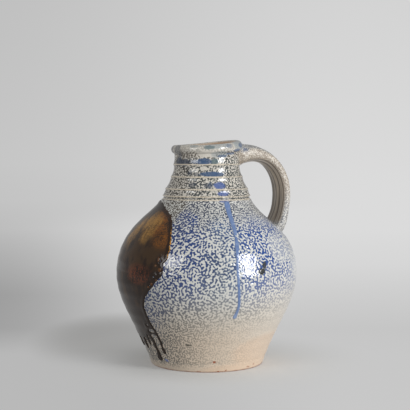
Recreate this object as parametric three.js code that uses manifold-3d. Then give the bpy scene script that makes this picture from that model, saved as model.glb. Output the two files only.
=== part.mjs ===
import * as THREE from 'three';
import { mergeVertices } from 'three/addons/utils/BufferGeometryUtils.js';
import Module from 'manifold-3d';

// A salt-glazed stoneware jug: a thrown body, a pulled handle, and two glaze coats that stand proud
// of the clay. Millimetres, +Z up. The origin is the centre of the foot, and the handle is at +X.

// Foot, belly and shoulder
const FOOT_RADIUS = 46.3;
const FOOT_EDGE_FLARE = 0.6;
const FOOT_EDGE_RISE = 2;
const BELLY_RADIUS = 74.3;
const BELLY_HEIGHT = 75;
const SHOULDER_RISE = 60.4;
const SHOULDER_TOP_RADIUS = 37.4;

// How far each end of the two wall curves runs on before it turns
const FOOT_RUN_OUT = 11.9;
const FOOT_RUN_UP = 34;
const BELLY_RUN_DOWN = 23.9;
const BELLY_RUN_UP = 36.8;
const SHOULDER_RUN_OUT = 6;
const SHOULDER_RUN_DOWN = 11.7;

// Throwing rings on the neck: each one's rise above the last, its radius and the hollow over it
const RING_GROOVE = 0.7;
const ROOT_RING_RISE = 3.2;
const ROOT_RING_RADIUS = 36.3;
const ROOT_HOLLOW = 0.4;
const LOWER_RING_RISE = 5.7;
const LOWER_RING_RADIUS = 34.1;
const LOWER_HOLLOW = 0.9;
const MIDDLE_RING_RISE = 9.9;
const MIDDLE_RING_RADIUS = 29.5;
const MIDDLE_HOLLOW = 1.1;
const UPPER_RING_RISE = 9.9;
const UPPER_RING_RADIUS = 27.5;
const UPPER_HOLLOW = 0.6;

// Rolled rim
const RIM_RISE = 12.2;
const RIM_OUTER_RADIUS = 29.5;
const RIM_ROLL_RADIUS = 3.7;
const RIM_ROLL_START = -70;
const RIM_LIFT = 4.2;
const RIM_LIFT_REACH = 20;

// Inside
const WALL = 5;
const NECK_WALL = 4.6;
const FLOOR_THICKNESS = 8;
const FLOOR_CORNER = 9;

// Strap handle: its middle line, then its section at the rim, along the strap and at the shoulder
const HANDLE_ROOT_DROP = 5.5;
const HANDLE_BURIED = 2;
const HANDLE_FINGER_ROOM = 32.3;
const HANDLE_WIDEST_RISE = 2.8;
const HANDLE_FOOT_RISE = 30;
const HANDLE_FOOT_BURIED = 5.4;
const HANDLE_ROOT_RUN_OUT = 28.8;
const HANDLE_ROOT_RUN_UP = 9.2;
const HANDLE_BOW_RUN_UP = 21.9;
const HANDLE_BOW_RUN_DOWN = 11.4;
const HANDLE_FOOT_RUN_OUT = 7.8;
const HANDLE_FOOT_RUN_UP = 8.9;
const ROOT_WIDTH = 27;
const ROOT_THICKNESS = 16.9;
const STRAP_WIDTH = 22.8;
const STRAP_THICKNESS = 10.4;
const FOOT_WIDTH = 27;
const FOOT_THICKNESS = 13.5;
const ROOT_FLARE_LENGTH = 40;
const FOOT_FLARE_LENGTH = 26;
const FOOT_ROUNDING = 12;
const FOOT_END_NARROWING = 0.85;
const SECTION_SQUARENESS = 2.4;
const FINGER_GROOVES = 2;
const FINGER_GROOVE_DEPTH = 0.8;

// The shoulder is pushed in where the handle was pressed on
const PRESS_DEPTH = 3.5;
const PRESS_RISE = 16;
const PRESS_REACH = 13;
const PRESS_SPREAD = 55;

// Glaze coats. Their outlines are places on the wall: degrees round from the handle, and hundredths
// of the way up from the foot to the top of the shoulder.
const SEAT_GAP = 0.3;
const IRON_THICKNESS = 0.9;
const IRON_CENTRE = 150;
const IRON_EDGE = [
  [0, 99.1],
  [27, 98.2],
  [45, 94.8],
  [57, 91.6],
  [63, 87.5],
  [67, 81.2],
  [68.6, 73.9],
  [68, 68.3],
  [65.5, 65],
  [66, 60.6],
  [61.5, 55.4],
  [56, 49.9],
  [51, 44.3],
  [48.3, 37.7],
  [48.5, 31.2],
  [45, 26.4],
  [38, 23.4],
  [28, 20.5],
  [16, 19.4],
  [2, 21.6],
  [-14, 24.5],
  [-28, 28.2],
  [-42, 34.9],
  [-54, 43.7],
  [-62, 54.1],
  [-66, 65.9],
  [-66, 77],
  [-60, 87.3],
  [-47, 94.7],
  [-25, 98.5],
];
const RUN_WIDTH = 3.2;
const RUN_TIP = 1.9;
const BROAD_RUN_WIDTH = 4.3;
const BROAD_RUN_TIP = 2.8;
const IRON_RUNS = [
  {
    width: RUN_WIDTH,
    tip: RUN_TIP,
    line: [[197, 32.5], [201, 27.3], [202.6, 20.7], [203.2, 14.8], [203, 10.3]],
  },
  {
    width: BROAD_RUN_WIDTH,
    tip: BROAD_RUN_TIP,
    line: [[186, 28.1], [190, 22.2], [192.8, 16.2], [193, 5.7]],
  },
  {
    width: RUN_WIDTH,
    tip: RUN_TIP,
    line: [[163, 25.1], [164, 19.2], [165, 12.6]],
  },
  {
    width: BROAD_RUN_WIDTH,
    tip: BROAD_RUN_TIP,
    line: [[138, 28.1], [138.5, 19.9], [140, 10.3]],
  },
  {
    width: RUN_WIDTH,
    tip: RUN_TIP,
    line: [[113, 36.9], [112, 29.5], [112.5, 22.2]],
  },
];
const COBALT_THICKNESS = 0.6;
const COBALT_WIDTH = 3.1;
const COBALT_TIP = 1.9;
const COBALT_LINE = [
  [267.5, 99],
  [265.4, 90.8],
  [264.4, 82.7],
  [262.6, 72.4],
  [261.7, 62.8],
  [262.6, 51.7],
  [263.4, 41.4],
  [262.5, 34.7],
];

// Fineness of the faceted forms
const TURN_STEPS = 56;
const WALL_STEPS = 12;
const INSIDE_STEPS = 7;
const HOLLOW_STEPS = 4;
const RIM_STEPS = 3;
const STRAP_SIDES = 36;
const STRAP_STEPS = 30;
const IRON_EDGE_STEPS = 80;
const RUN_STEPS = 12;
const TIP_STEPS = 6;
const CAST_START = 1;
const CAST_MARGIN = 5;
const CAST_REACH = 60;
const WELD = 1e-4;

// Heights that follow from the sizes above
const SHOULDER_TOP = BELLY_HEIGHT + SHOULDER_RISE;
const ROOT_RING_HEIGHT = SHOULDER_TOP + ROOT_RING_RISE;
const LOWER_RING_HEIGHT = ROOT_RING_HEIGHT + LOWER_RING_RISE;
const MIDDLE_RING_HEIGHT = LOWER_RING_HEIGHT + MIDDLE_RING_RISE;
const NECK_TOP = MIDDLE_RING_HEIGHT + UPPER_RING_RISE;
const RINGS = [
  { height: ROOT_RING_HEIGHT, radius: ROOT_RING_RADIUS, hollow: ROOT_HOLLOW },
  { height: LOWER_RING_HEIGHT, radius: LOWER_RING_RADIUS, hollow: LOWER_HOLLOW },
  { height: MIDDLE_RING_HEIGHT, radius: MIDDLE_RING_RADIUS, hollow: MIDDLE_HOLLOW },
  { height: NECK_TOP, radius: UPPER_RING_RADIUS, hollow: UPPER_HOLLOW },
];
const RIM_CENTRE = NECK_TOP + RIM_RISE;
const RIM_TOP = RIM_CENTRE + RIM_ROLL_RADIUS;
const HANDLE_FOOT_HEIGHT = BELLY_HEIGHT + HANDLE_FOOT_RISE;

const clay = new THREE.MeshStandardMaterial({ color: 0xb9b8b2, roughness: 0.35, metalness: 0 });
const strapClay = new THREE.MeshStandardMaterial({ color: 0xa89c8a, roughness: 0.4, metalness: 0 });
const ironGlaze = new THREE.MeshStandardMaterial({ color: 0x3a271c, roughness: 0.15, metalness: 0 });
const cobaltGlaze = new THREE.MeshStandardMaterial({ color: 0x4a66b0, roughness: 0.15, metalness: 0 });

const solids = await Module();
solids.setup();

// A closed geometry as a solid: shared corners are joined and empty triangles are dropped
function toSolid(geometry) {
  geometry.deleteAttribute('normal');
  geometry.deleteAttribute('uv');
  const joined = mergeVertices(geometry, WELD);
  const corners = joined.index.array;
  const triangles = [];
  for (let i = 0; i < corners.length; i += 3) {
    const triangle = corners.slice(i, i + 3);
    if (new Set(triangle).size === 3) triangles.push(...triangle);
  }
  const mesh = new solids.Mesh({
    numProp: 3,
    vertProperties: joined.attributes.position.array,
    triVerts: new Uint32Array(triangles),
  });
  return new solids.Manifold(mesh);
}

function toMesh(name, solid, material) {
  const { vertProperties, triVerts } = solid.getMesh();
  const geometry = new THREE.BufferGeometry();
  geometry.setAttribute('position', new THREE.BufferAttribute(vertProperties, 3));
  geometry.setIndex(new THREE.BufferAttribute(triVerts, 1));
  geometry.computeVertexNormals();
  const mesh = new THREE.Mesh(geometry, material);
  mesh.name = name;
  return mesh;
}

// The two smooth curves of the wall: foot to belly, and belly to the top of the shoulder
function wallCurves() {
  const belly = new THREE.Vector2(BELLY_RADIUS, BELLY_HEIGHT);
  const foot = new THREE.Vector2(FOOT_RADIUS + FOOT_EDGE_FLARE, FOOT_EDGE_RISE);
  const top = new THREE.Vector2(SHOULDER_TOP_RADIUS, SHOULDER_TOP);
  const lower = new THREE.CubicBezierCurve(
    foot,
    new THREE.Vector2(foot.x + FOOT_RUN_OUT, foot.y + FOOT_RUN_UP),
    new THREE.Vector2(belly.x, belly.y - BELLY_RUN_DOWN),
    belly,
  );
  const shoulder = new THREE.CubicBezierCurve(
    belly,
    new THREE.Vector2(belly.x, belly.y + BELLY_RUN_UP),
    new THREE.Vector2(top.x + SHOULDER_RUN_OUT, top.y - SHOULDER_RUN_DOWN),
    top,
  );
  return [lower, shoulder];
}

// Outside of the neck: a groove, then rings with a hollow over each, then the rim's roll
function neckPoints() {
  const rollRadius = RIM_OUTER_RADIUS - RIM_ROLL_RADIUS;
  const start = THREE.MathUtils.degToRad(RIM_ROLL_START);
  const rimFoot = {
    height: RIM_CENTRE + RIM_ROLL_RADIUS * Math.sin(start),
    radius: rollRadius + RIM_ROLL_RADIUS * Math.cos(start),
  };
  const path = new THREE.Path();
  path.moveTo(ROOT_RING_RADIUS - RING_GROOVE, SHOULDER_TOP + ROOT_RING_RISE / 2);
  path.lineTo(ROOT_RING_RADIUS, ROOT_RING_HEIGHT);
  RINGS.forEach((ring, i) => {
    const next = RINGS[i + 1] ?? rimFoot;
    const radius = (ring.radius + next.radius) / 2 - 2 * ring.hollow;
    path.quadraticCurveTo(radius, (ring.height + next.height) / 2, next.radius, next.height);
  });
  path.absarc(rollRadius, RIM_CENTRE, RIM_ROLL_RADIUS, start, Math.PI / 2, false);
  return path.getPoints(HOLLOW_STEPS);
}

// Whole outside of the body, from the foot's edge to the crest of the rim
function outsidePoints() {
  const [lower, shoulder] = wallCurves();
  return [
    new THREE.Vector2(FOOT_RADIUS, 0),
    ...lower.getPoints(WALL_STEPS),
    ...shoulder.getPoints(WALL_STEPS).slice(1),
    ...neckPoints(),
  ];
}

function offsetPoints(points, distance) {
  return points.map((point, i) => {
    const before = points[Math.max(i - 1, 0)];
    const after = points[Math.min(i + 1, points.length - 1)];
    const along = after.clone().sub(before).normalize();
    const moved = new THREE.Vector2(along.y, -along.x).multiplyScalar(distance).add(point);
    if (i === 0) moved.y = point.y;
    return moved;
  });
}

// Inside of the body, from the rim down to the middle of the floor
function insidePoints() {
  const rollRadius = RIM_OUTER_RADIUS - RIM_ROLL_RADIUS;
  const roll = new THREE.Path();
  roll.absarc(rollRadius, RIM_CENTRE, RIM_ROLL_RADIUS, Math.PI / 2, Math.PI, false);
  const neck = RINGS.map((ring) => new THREE.Vector2(ring.radius - NECK_WALL, ring.height));
  const [lower, shoulder] = wallCurves();
  const wall = [...lower.getPoints(INSIDE_STEPS), ...shoulder.getPoints(INSIDE_STEPS).slice(1, -1)];
  const cornerTop = FLOOR_THICKNESS + FLOOR_CORNER;
  const inner = offsetPoints(wall, -WALL).filter((point) => point.y > cornerTop);
  const start = inner[0];
  const floorEdge = start.x - FLOOR_CORNER;
  const corner = new THREE.Path();
  corner.moveTo(start.x, start.y);
  corner.quadraticCurveTo(floorEdge + FLOOR_CORNER / 2, FLOOR_THICKNESS, floorEdge, FLOOR_THICKNESS);
  return [
    ...roll.getPoints(RIM_STEPS).slice(1),
    ...neck.reverse(),
    ...inner.slice(1).reverse(),
    ...corner.getPoints(HOLLOW_STEPS),
    new THREE.Vector2(0, FLOOR_THICKNESS),
  ];
}

// Clay moved by hand after throwing: the shoulder pushed in and the rim drawn up at the handle
function shapeByHand(geometry) {
  const position = geometry.attributes.position;
  const spread = THREE.MathUtils.degToRad(PRESS_SPREAD);
  for (let i = 0; i < position.count; i += 1) {
    const radius = Math.hypot(position.getX(i), position.getY(i));
    const angle = Math.atan2(position.getY(i), position.getX(i));
    const height = position.getZ(i);
    const across = Math.exp(-((angle / spread) ** 2));
    const upright = Math.exp(-(((height - HANDLE_FOOT_HEIGHT - PRESS_RISE) / PRESS_REACH) ** 2));
    const near = THREE.MathUtils.clamp((height - RIM_TOP) / RIM_LIFT_REACH + 1, 0, 1);
    const side = (1 + Math.cos(angle)) / 2;
    const moved = radius - Math.min(radius, PRESS_DEPTH * across * upright);
    const lifted = height + RIM_LIFT * (near * side) ** 2;
    position.setXYZ(i, moved * Math.cos(angle), moved * Math.sin(angle), lifted);
  }
  return geometry;
}

function turned(points) {
  return shapeByHand(new THREE.LatheGeometry(points, TURN_STEPS).rotateX(Math.PI / 2));
}

// The body with no hollow, grown by an even coat
function coatedForm(coat) {
  const outside = offsetPoints(outsidePoints(), coat);
  const crest = outside.at(-1).y;
  const points = [new THREE.Vector2(0, 0), ...outside, new THREE.Vector2(0, crest)];
  return toSolid(turned(points));
}

function wallRadiusAt(height) {
  const points = outsidePoints();
  const next = Math.max(points.findIndex((point) => point.y > height), 1);
  const low = points[next - 1];
  const high = points[next];
  return THREE.MathUtils.mapLinear(height, low.y, high.y, low.x, high.x);
}

function thrownBody() {
  const points = [new THREE.Vector2(0, 0), ...outsidePoints(), ...insidePoints()];
  return toSolid(turned(points));
}

// Middle line of the handle: out from under the rim, round the bow and back on to the shoulder
function handleLine() {
  const rootHeight = RIM_CENTRE - HANDLE_ROOT_DROP;
  const root = new THREE.Vector3(wallRadiusAt(rootHeight) - HANDLE_BURIED, 0, rootHeight);
  const bowReach = LOWER_RING_RADIUS + HANDLE_FINGER_ROOM + STRAP_THICKNESS / 2;
  const bow = new THREE.Vector3(bowReach, 0, SHOULDER_TOP + HANDLE_WIDEST_RISE);
  const footRadius = wallRadiusAt(HANDLE_FOOT_HEIGHT) - HANDLE_FOOT_BURIED;
  const foot = new THREE.Vector3(footRadius, 0, HANDLE_FOOT_HEIGHT);
  const line = new THREE.CurvePath();
  line.add(new THREE.CubicBezierCurve3(
    root,
    new THREE.Vector3(root.x + HANDLE_ROOT_RUN_OUT, 0, root.z + HANDLE_ROOT_RUN_UP),
    new THREE.Vector3(bow.x, 0, bow.z + HANDLE_BOW_RUN_UP),
    bow,
  ));
  line.add(new THREE.CubicBezierCurve3(
    bow,
    new THREE.Vector3(bow.x, 0, bow.z - HANDLE_BOW_RUN_DOWN),
    new THREE.Vector3(foot.x + HANDLE_FOOT_RUN_OUT, 0, foot.z + HANDLE_FOOT_RUN_UP),
    foot,
  ));
  return line;
}

// Width and thickness of the strap, flared at both ends
function strapSection(distance, length) {
  const root = 1 - THREE.MathUtils.smoothstep(distance, 0, ROOT_FLARE_LENGTH);
  const foot = THREE.MathUtils.smoothstep(distance, length - FOOT_FLARE_LENGTH, length);
  const flared = (strap, atRoot, atFoot) => strap + (atRoot - strap) * root + (atFoot - strap) * foot;
  return [
    flared(STRAP_WIDTH, ROOT_WIDTH, FOOT_WIDTH) * tongueShare(distance, length),
    flared(STRAP_THICKNESS, ROOT_THICKNESS, FOOT_THICKNESS),
  ];
}

// The foot of the strap ends in a round tongue
function tongueShare(distance, length) {
  const into = THREE.MathUtils.clamp((distance - length) / FOOT_ROUNDING + 1, 0, 1);
  return Math.sqrt(1 - (into * FOOT_END_NARROWING) ** 2);
}

// Rounded strap section with finger grooves along both faces: [across, outwards]
function strapPoint(turn, width, thickness) {
  const bulge = (value) => Math.sign(value) * Math.abs(value) ** (2 / SECTION_SQUARENESS);
  const across = bulge(Math.cos(turn));
  const ribs = (1 + Math.cos(Math.PI * (across * FINGER_GROOVES + FINGER_GROOVES - 1))) / 2;
  const face = bulge(Math.sin(turn));
  const grooved = face * (thickness / 2 - FINGER_GROOVE_DEPTH * ribs * Math.abs(face));
  return [(across * width) / 2, grooved];
}

function pulledHandle() {
  const line = handleLine();
  const length = line.getLength();
  const strap = new THREE.CylinderGeometry(1, 1, 1, STRAP_SIDES, STRAP_STEPS);
  const position = strap.attributes.position;
  for (let i = 0; i < position.count; i += 1) {
    const share = THREE.MathUtils.clamp(position.getY(i) + 0.5, 0, 1);
    const middle = line.getPointAt(share);
    const along = line.getTangentAt(share);
    const [width, thickness] = strapSection(share * length, length);
    const turn = Math.atan2(position.getX(i), position.getZ(i));
    const spread = Math.hypot(position.getX(i), position.getZ(i));
    const [across, outwards] = strapPoint(turn, width, thickness);
    const x = middle.x - spread * outwards * along.z;
    const z = middle.z + spread * outwards * along.x;
    position.setXYZ(i, x, spread * across, z);
  }
  return toSolid(strap).subtract(coatedForm(SEAT_GAP));
}

// Everything straight out from the jug's axis through an outline on its wall. The cast has a layer of
// corners close under and close over the wall, so that its sides follow the outline there.
function castOutwards(outline) {
  const shape = new THREE.Shape(outline);
  const cast = new THREE.ExtrudeGeometry(shape, { depth: 3, steps: 3, bevelEnabled: false });
  const position = cast.attributes.position;
  for (let i = 0; i < position.count; i += 1) {
    const angle = THREE.MathUtils.degToRad(position.getX(i));
    const height = position.getY(i);
    const wall = wallRadiusAt(height);
    const layers = [CAST_START, wall - CAST_MARGIN, wall + CAST_MARGIN, wall + CAST_REACH];
    const radius = layers[Math.round(position.getZ(i))];
    position.setXYZ(i, radius * Math.cos(angle), radius * Math.sin(angle), height);
  }
  return toSolid(cast);
}

function wallPlace(angle, share) {
  return new THREE.Vector3(angle, (SHOULDER_TOP * share) / 100, 0);
}

// A run of glaze down the wall: an even strip with a round, swollen tip
function runOutline({ width, tip, line }) {
  const places = line.map(([angle, share]) => wallPlace(angle, share));
  const middle = new THREE.CatmullRomCurve3(places).getPoints(RUN_STEPS);
  const degrees = (length, height) => THREE.MathUtils.radToDeg(length / wallRadiusAt(height));
  const side = (sign) => middle.map(
    ({ x, y }) => new THREE.Vector2(x + (sign * degrees(width, y)) / 2, y),
  );
  const end = middle.at(-1);
  const round = [];
  for (let i = 0; i <= TIP_STEPS; i += 1) {
    const turn = (Math.PI * i) / TIP_STEPS;
    const height = end.y - tip * Math.sin(turn);
    round.push(new THREE.Vector2(end.x - degrees(tip, height) * Math.cos(turn), height));
  }
  return [...side(-1), ...round, ...side(1).reverse()];
}

function glazeShell(thickness) {
  return coatedForm(SEAT_GAP + thickness).subtract(coatedForm(SEAT_GAP));
}

function ironGlazePour() {
  const places = IRON_EDGE.map(([angle, share]) => wallPlace(IRON_CENTRE + angle, share));
  const edge = new THREE.CatmullRomCurve3(places, true).getPoints(IRON_EDGE_STEPS).slice(1);
  let cast = castOutwards(edge.map(({ x, y }) => new THREE.Vector2(x, y)));
  IRON_RUNS.forEach((run) => {
    cast = cast.add(castOutwards(runOutline(run)));
  });
  return glazeShell(IRON_THICKNESS).intersect(cast);
}

function cobaltGlazeRun() {
  const outline = runOutline({ width: COBALT_WIDTH, tip: COBALT_TIP, line: COBALT_LINE });
  return glazeShell(COBALT_THICKNESS).intersect(castOutwards(outline));
}

const jug = new THREE.Group();
jug.name = 'jug';
jug.add(toMesh('thrown_body', thrownBody(), clay));
jug.add(toMesh('pulled_handle', pulledHandle(), strapClay));
jug.add(toMesh('iron_glaze_pour', ironGlazePour(), ironGlaze));
jug.add(toMesh('cobalt_glaze_run', cobaltGlazeRun(), cobaltGlaze));

export default jug;
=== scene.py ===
"""A thrown stoneware jug with a pulled handle and two poured glazes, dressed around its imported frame."""

import math
from functools import cached_property, partialmethod

import bmesh
import bpy
import numpy as np
from bpy.props import FloatProperty, FloatVectorProperty, IntProperty, PointerProperty
from bpy.types import Operator, Panel, PropertyGroup
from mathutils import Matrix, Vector, noise


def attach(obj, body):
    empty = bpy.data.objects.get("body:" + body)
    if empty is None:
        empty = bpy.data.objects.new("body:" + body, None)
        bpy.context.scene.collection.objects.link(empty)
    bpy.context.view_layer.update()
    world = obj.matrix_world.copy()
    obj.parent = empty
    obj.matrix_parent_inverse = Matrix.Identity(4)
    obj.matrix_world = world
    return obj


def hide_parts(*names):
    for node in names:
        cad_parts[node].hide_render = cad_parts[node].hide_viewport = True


bl_info = {
    "name": "Salt-glazed jug",
    "version": (1, 0, 0),
    "blender": (4, 5, 0),
    "location": "3D Viewport > Sidebar > Jug",
    "description": "Builds a thrown stoneware jug with a pulled handle and two poured glazes",
    "category": "Add Mesh",
}

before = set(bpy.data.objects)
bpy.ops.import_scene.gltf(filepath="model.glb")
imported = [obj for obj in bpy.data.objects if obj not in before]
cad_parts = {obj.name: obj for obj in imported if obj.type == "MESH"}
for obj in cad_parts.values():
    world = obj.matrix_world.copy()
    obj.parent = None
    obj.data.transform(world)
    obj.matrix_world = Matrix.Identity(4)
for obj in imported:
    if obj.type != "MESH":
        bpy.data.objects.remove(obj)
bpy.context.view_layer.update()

MM = 0.001
BODY = "root"

# Angles on the jug are degrees round from the handle, as in the frame. This one faces the camera.
FRONT = 243

# Distance from mark to mark of the mottle, in millimetres
BELLY_PITCH = 3.2
NECK_PITCH = 2.4
HANDLE_PITCH = 1.9
IRON_PITCH = 2.6

# Rows and columns of the meshes
TURN_STEPS = 384
UNDERSIDE_ROWS = 7
FOOT_EDGE_ROWS = 5
BELLY_ROWS = 72
SHOULDER_ROWS = 52
GROOVE_ROWS = 8
HOLLOW_ROWS = 11
RIM_ROWS = 18
INSIDE_ROWS = 44
CORNER_ROWS = 6
HANDLE_STEPS = 200
HANDLE_SIDES = 96
FLOOR_SIDES = 128
# Points on a curve from which even steps are then taken
CURVE_STEPS = 60
HANDLE_CURVE_STEPS = 200
# How much closer the belly's rows lie near the foot, as a power
BELLY_CROWDING = 1.2

# Edge of the iron glaze: degrees from its centre, and hundredths of the height of the shoulder's top
IRON_CENTRE = 150
IRON_EDGE = (
    (0, 99.1), (27, 98.2), (45, 94.8), (57, 91.6), (63, 87.5), (67, 81.2), (68.6, 73.9), (68, 68.3),
    (65.5, 65), (66, 60.6), (61.5, 55.4), (56, 49.9), (51, 44.3), (48.3, 37.7), (48.5, 31.2),
    (44, 25), (38, 21), (28, 18), (16, 18.4), (2, 21.6), (-14, 24.5), (-28, 28.2),
    (-42, 34.9), (-54, 43.7), (-62, 54.1), (-66, 65.9), (-66, 77), (-60, 87.3), (-47, 94.7),
    (-25, 98.5),
)
# Runs of iron glaze: angle, hundredths of the shoulder's height, and half the width in millimetres
IRON_RUNS = (
    ((195, 33, 1.9), (198.8, 27.3, 1.3), (201.2, 21.5, 1.1), (202, 15.5, 1.1), (202.6, 10.8, 1.6)),
    ((187, 30, 2.6), (190.5, 22.5, 2.1), (193.2, 15.5, 1.8), (194.2, 9.5, 1.8), (194, 6.9, 3)),
    ((183, 26, 4.5), (185, 19, 2.8), (186.5, 14.5, 0.9)),
    ((176, 22, 4), (177.5, 15, 1.7), (178, 11.5, 0.7)),
    ((192, 26, 1.2), (198, 26, 1.2)),
    ((192, 22.6, 1.1), (199.5, 22.6, 1)),
    ((163, 25.1, 1.8), (164, 19.2, 1.4), (165, 12.6, 1.9)),
    ((138, 28.1, 2.3), (138.5, 19.9, 1.9), (140, 10.3, 2.7)),
    ((113, 36.9, 1.7), (112, 29.5, 1.4), (112.5, 22.2, 1.8)),
)
# Places in the iron glaze where the clay shows: angle, height and radius in millimetres
IRON_PITS = (
    (194.4, 37.6, 1.1),
    (196, 32.6, 1.15),
    (213.4, 90.4, 0.6),
    (209.3, 78.2, 0.7),
    (214.8, 82.2, 0.45),
    (206.4, 71.2, 0.5),
    (133, 60, 0.7),
    (121, 48, 1),
)
# Blooms of thinner iron glaze: angle, height, half width in degrees and half height
GOLD_PLACES = ((194, 114, 9, 14), (187, 119, 8, 10), (175, 110, 8, 16), (197, 119, 7, 6))
ORANGE_PLACES = ((206, 118, 13, 14), (211, 109, 11, 12), (199, 126, 12, 9))
RUST_PLACES = ((196, 79, 14, 10),)
# Blisters at the edge of the iron glaze: angle, height, half width in degrees and half height
IRON_BLISTERS = (
    (212, 91.9, 0.8, 2.2),
    (213.5, 83.9, 1.4, 1.8),
    (210.4, 86.9, 0.9, 1.2),
    (208, 72.5, 1, 1.3),
    (205.5, 69.9, 0.9, 1),
    (211.4, 75.8, 0.8, 0.9),
)
# The cobalt run: angle, hundredths of the shoulder's height, and half the width in millimetres
COBALT_RUN = (
    (267.6, 98.3, 2.4), (266, 94, 2.1), (265, 88, 1.9), (264.4, 83, 1.7), (264, 80.6, 1.1),
    (263.4, 77, 1.6), (262.4, 70, 1.4), (261.7, 62.8, 1.1), (262.4, 52, 1.1), (263.3, 42.5, 1.1),
    (262.6, 37.5, 1.2), (261.6, 34.9, 1.7),
)
COBALT_PITS = ((264.3, 109.6, 0.75),)

# Stains on the glazed wall: angle, height, half width in degrees, half height, colour and strength
STAINS = (
    (186, 166.4, 12, 4.2, "pool_dark", 0.95),
    (203, 165.8, 9, 3.8, "pool_dark", 0.95),
    (214, 166.6, 5, 2.6, "pool_dark", 0.8),
    (222, 166.4, 6, 2, "pool_blue", 0.6),
    (238, 166.6, 17, 3.1, "pool_blue", 0.95),
    (257, 166.6, 8, 2.9, "pool_teal", 0.95),
    (92, 166.8, 14, 2.4, "pool_dark", 0.8),
    (125, 167, 16, 2.6, "pool_blue", 0.8),
    (150, 167, 12, 2.6, "pool_dark", 0.9),
    (30, 167, 20, 2.2, "pool_teal", 0.6),
    (214, 157.5, 6, 2.2, "pool_dark", 0.6),
    (226, 156.5, 5, 2, "pool_dark", 0.6),
    (252, 156.6, 25, 2.3, "pool_blue", 0.95),
    (140, 156.5, 22, 2.2, "pool_dark", 0.7),
    (84, 156.5, 12, 2, "pool_blue", 0.6),
    (262, 147.6, 10, 3.2, "pool_cobalt", 0.95),
    (248, 148, 5, 3, "pool_blue", 0.5),
    (245, 147.5, 8, 2.4, "pool_dark", 0.6),
    (222, 148.3, 7, 2.2, "pool_dark", 0.6),
    (265.5, 141.2, 9, 2.1, "pool_cobalt", 0.9),
    (266, 135.4, 8, 1.5, "pool_cobalt", 0.7),
    (188, 175, 10, 7, "pool_dark", 0.6),
    (166, 177, 9, 5, "pool_dark", 0.6),
    (197, 172, 4, 5, "smear", 0.6),
    (209, 172, 5, 3.4, "smear", 0.5),
    (146, 173, 12, 7, "smear", 0.6),
    (110, 176, 16, 5, "pool_teal", 0.6),
    (266, 172, 20, 3, "film", 0.6),
    (262, 178.6, 26, 2.4, "film", 0.6),
    (318, 178.5, 30, 4.5, "film", 0.75),
    (247, 177.8, 11, 1.8, "pool_teal", 0.8),
    (222, 178.8, 9, 1.2, "film", 0.6),
    (282, 178, 8, 1.8, "pool_blue", 0.5),
    (272, 170.8, 12, 1.1, "pool_blue", 0.7),
    (288, 172.4, 12, 1.1, "pool_blue", 0.75),
    (302, 174.6, 12, 1.3, "pool_blue", 0.85),
    (316, 177.5, 12, 2, "pool_blue", 0.8),
    (202.2, 8, 2.2, 1.3, "pool_cobalt", 0.9),
    (172, 17, 2.6, 13, "iron_brown", 0.7),
    (178.5, 14, 2, 11, "iron_brown", 0.75),
    (184, 11, 1.4, 8, "smear", 0.7),
    (281, 86.8, 2.6, 3.2, "spot_dark", 1),
    (278.6, 82.2, 2.6, 3, "spot_dark", 1),
    (227.5, 23.4, 3, 0.8, "spot_dark", 0.85),
    (249.5, 9, 1.3, 1.1, "spot_rust", 1),
    (254, 0.9, 1.8, 0.8, "spot_rust", 1),
    (262, 1.5, 1, 0.8, "spot_rust", 0.8),
    (287, 2.4, 2.2, 0.9, "spot_rust", 0.6),
    (296, 3.6, 1.8, 1, "spot_rust", 0.5),
    (235, 0.8, 3, 0.8, "spot_rust", 0.6),
    (30, 22, 1.4, 1.1, "spot_rust", 1),
    (88, 14, 1.1, 0.9, "spot_rust", 0.9),
)
# Shares of the body's look, from 0 at the first value to 1 at the second: by degrees to the right
# of the front, and by height in millimetres
SIDES = {
    "right": (24, 34),
    "left": (-14, -46),
    "buff": (10, 50),
    "navy": (6, -24),
    "brown": (-18, -30),
    # Painted shade: a little darker from the front round to the left
    "dim": (28, 12),
    "groove": (-60, -20),
    "foot_line": (10, -20),
}
BANDS = {
    "neck": (134, 137),
    "fine_shoulder": (106, 124),
    "fine_low": (56, 28),
    "over_foot": (0.5, 8),
    "faint_right": (110, 122),
    "rim_hollow": (167.2, 169),
    "rim_hollow_right": (174, 171),
    "rim_edge": (173.5, 175.5),
    "blue_right": (46, 84),
    "blue_right_top": (126, 112),
    "beside_run": (122, 108),
    "buff_left": (70, 22),
    "buff_right": (92, -4),
    "slate": (84, 112),
    "brown_margin": (110, 119),
    "brown_rim": (168, 171),
    "brown_rim_top": (176, 173),
    # Painted shade: strongest low down, and half as strong at the very foot
    "dim": (96, 56),
    "dim_foot": (0, 36),
    "glossy": (20, 60),
}
# More places on the wall as angle, height, half width and half height: where the colour has
# missed, where the marks fade for a painted sheen on the right, the blue patch beside the iron glaze, and
# the flush of the clay
BARE_PLACES = (
    (202, 167, 2.6, 4.5), (213, 140.2, 3, 1.6), (243, 172.6, 20, 2.8), (226, 157, 3, 3), (238, 161.4, 7, 2),
)
PAINTED_SHEEN_PLACES = ((302, 99, 16, 13), (322, 92, 13, 26))
BLUE_PATCH = ((222, 123, 10, 7), (230, 121, 8, 6), (216, 112, 7, 9))
FLUSH_PLACES = ((302, 14, 42, 18), (320, 6, 40, 18), (278, 0, 50, 8), (12, 12, 40, 16))


def linear(channel):
    """A screen value from 0 to 255 as a linear one from 0 to 1"""
    share = channel / 255
    return share / 12.92 if share <= 0.04045 else ((share + 0.055) / 1.055) ** 2.4


def setting(default, description, **options):
    return FloatProperty(default=default, description=description, **options)


def length(millimetres, description):
    return setting(millimetres * MM, description, unit="LENGTH", precision=5)


def turn(degrees, description):
    return setting(math.radians(degrees), description, unit="ROTATION")


def amount(default, description):
    return setting(default, description, min=0)


def whole(default, description):
    return IntProperty(default=default, description=description)


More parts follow.
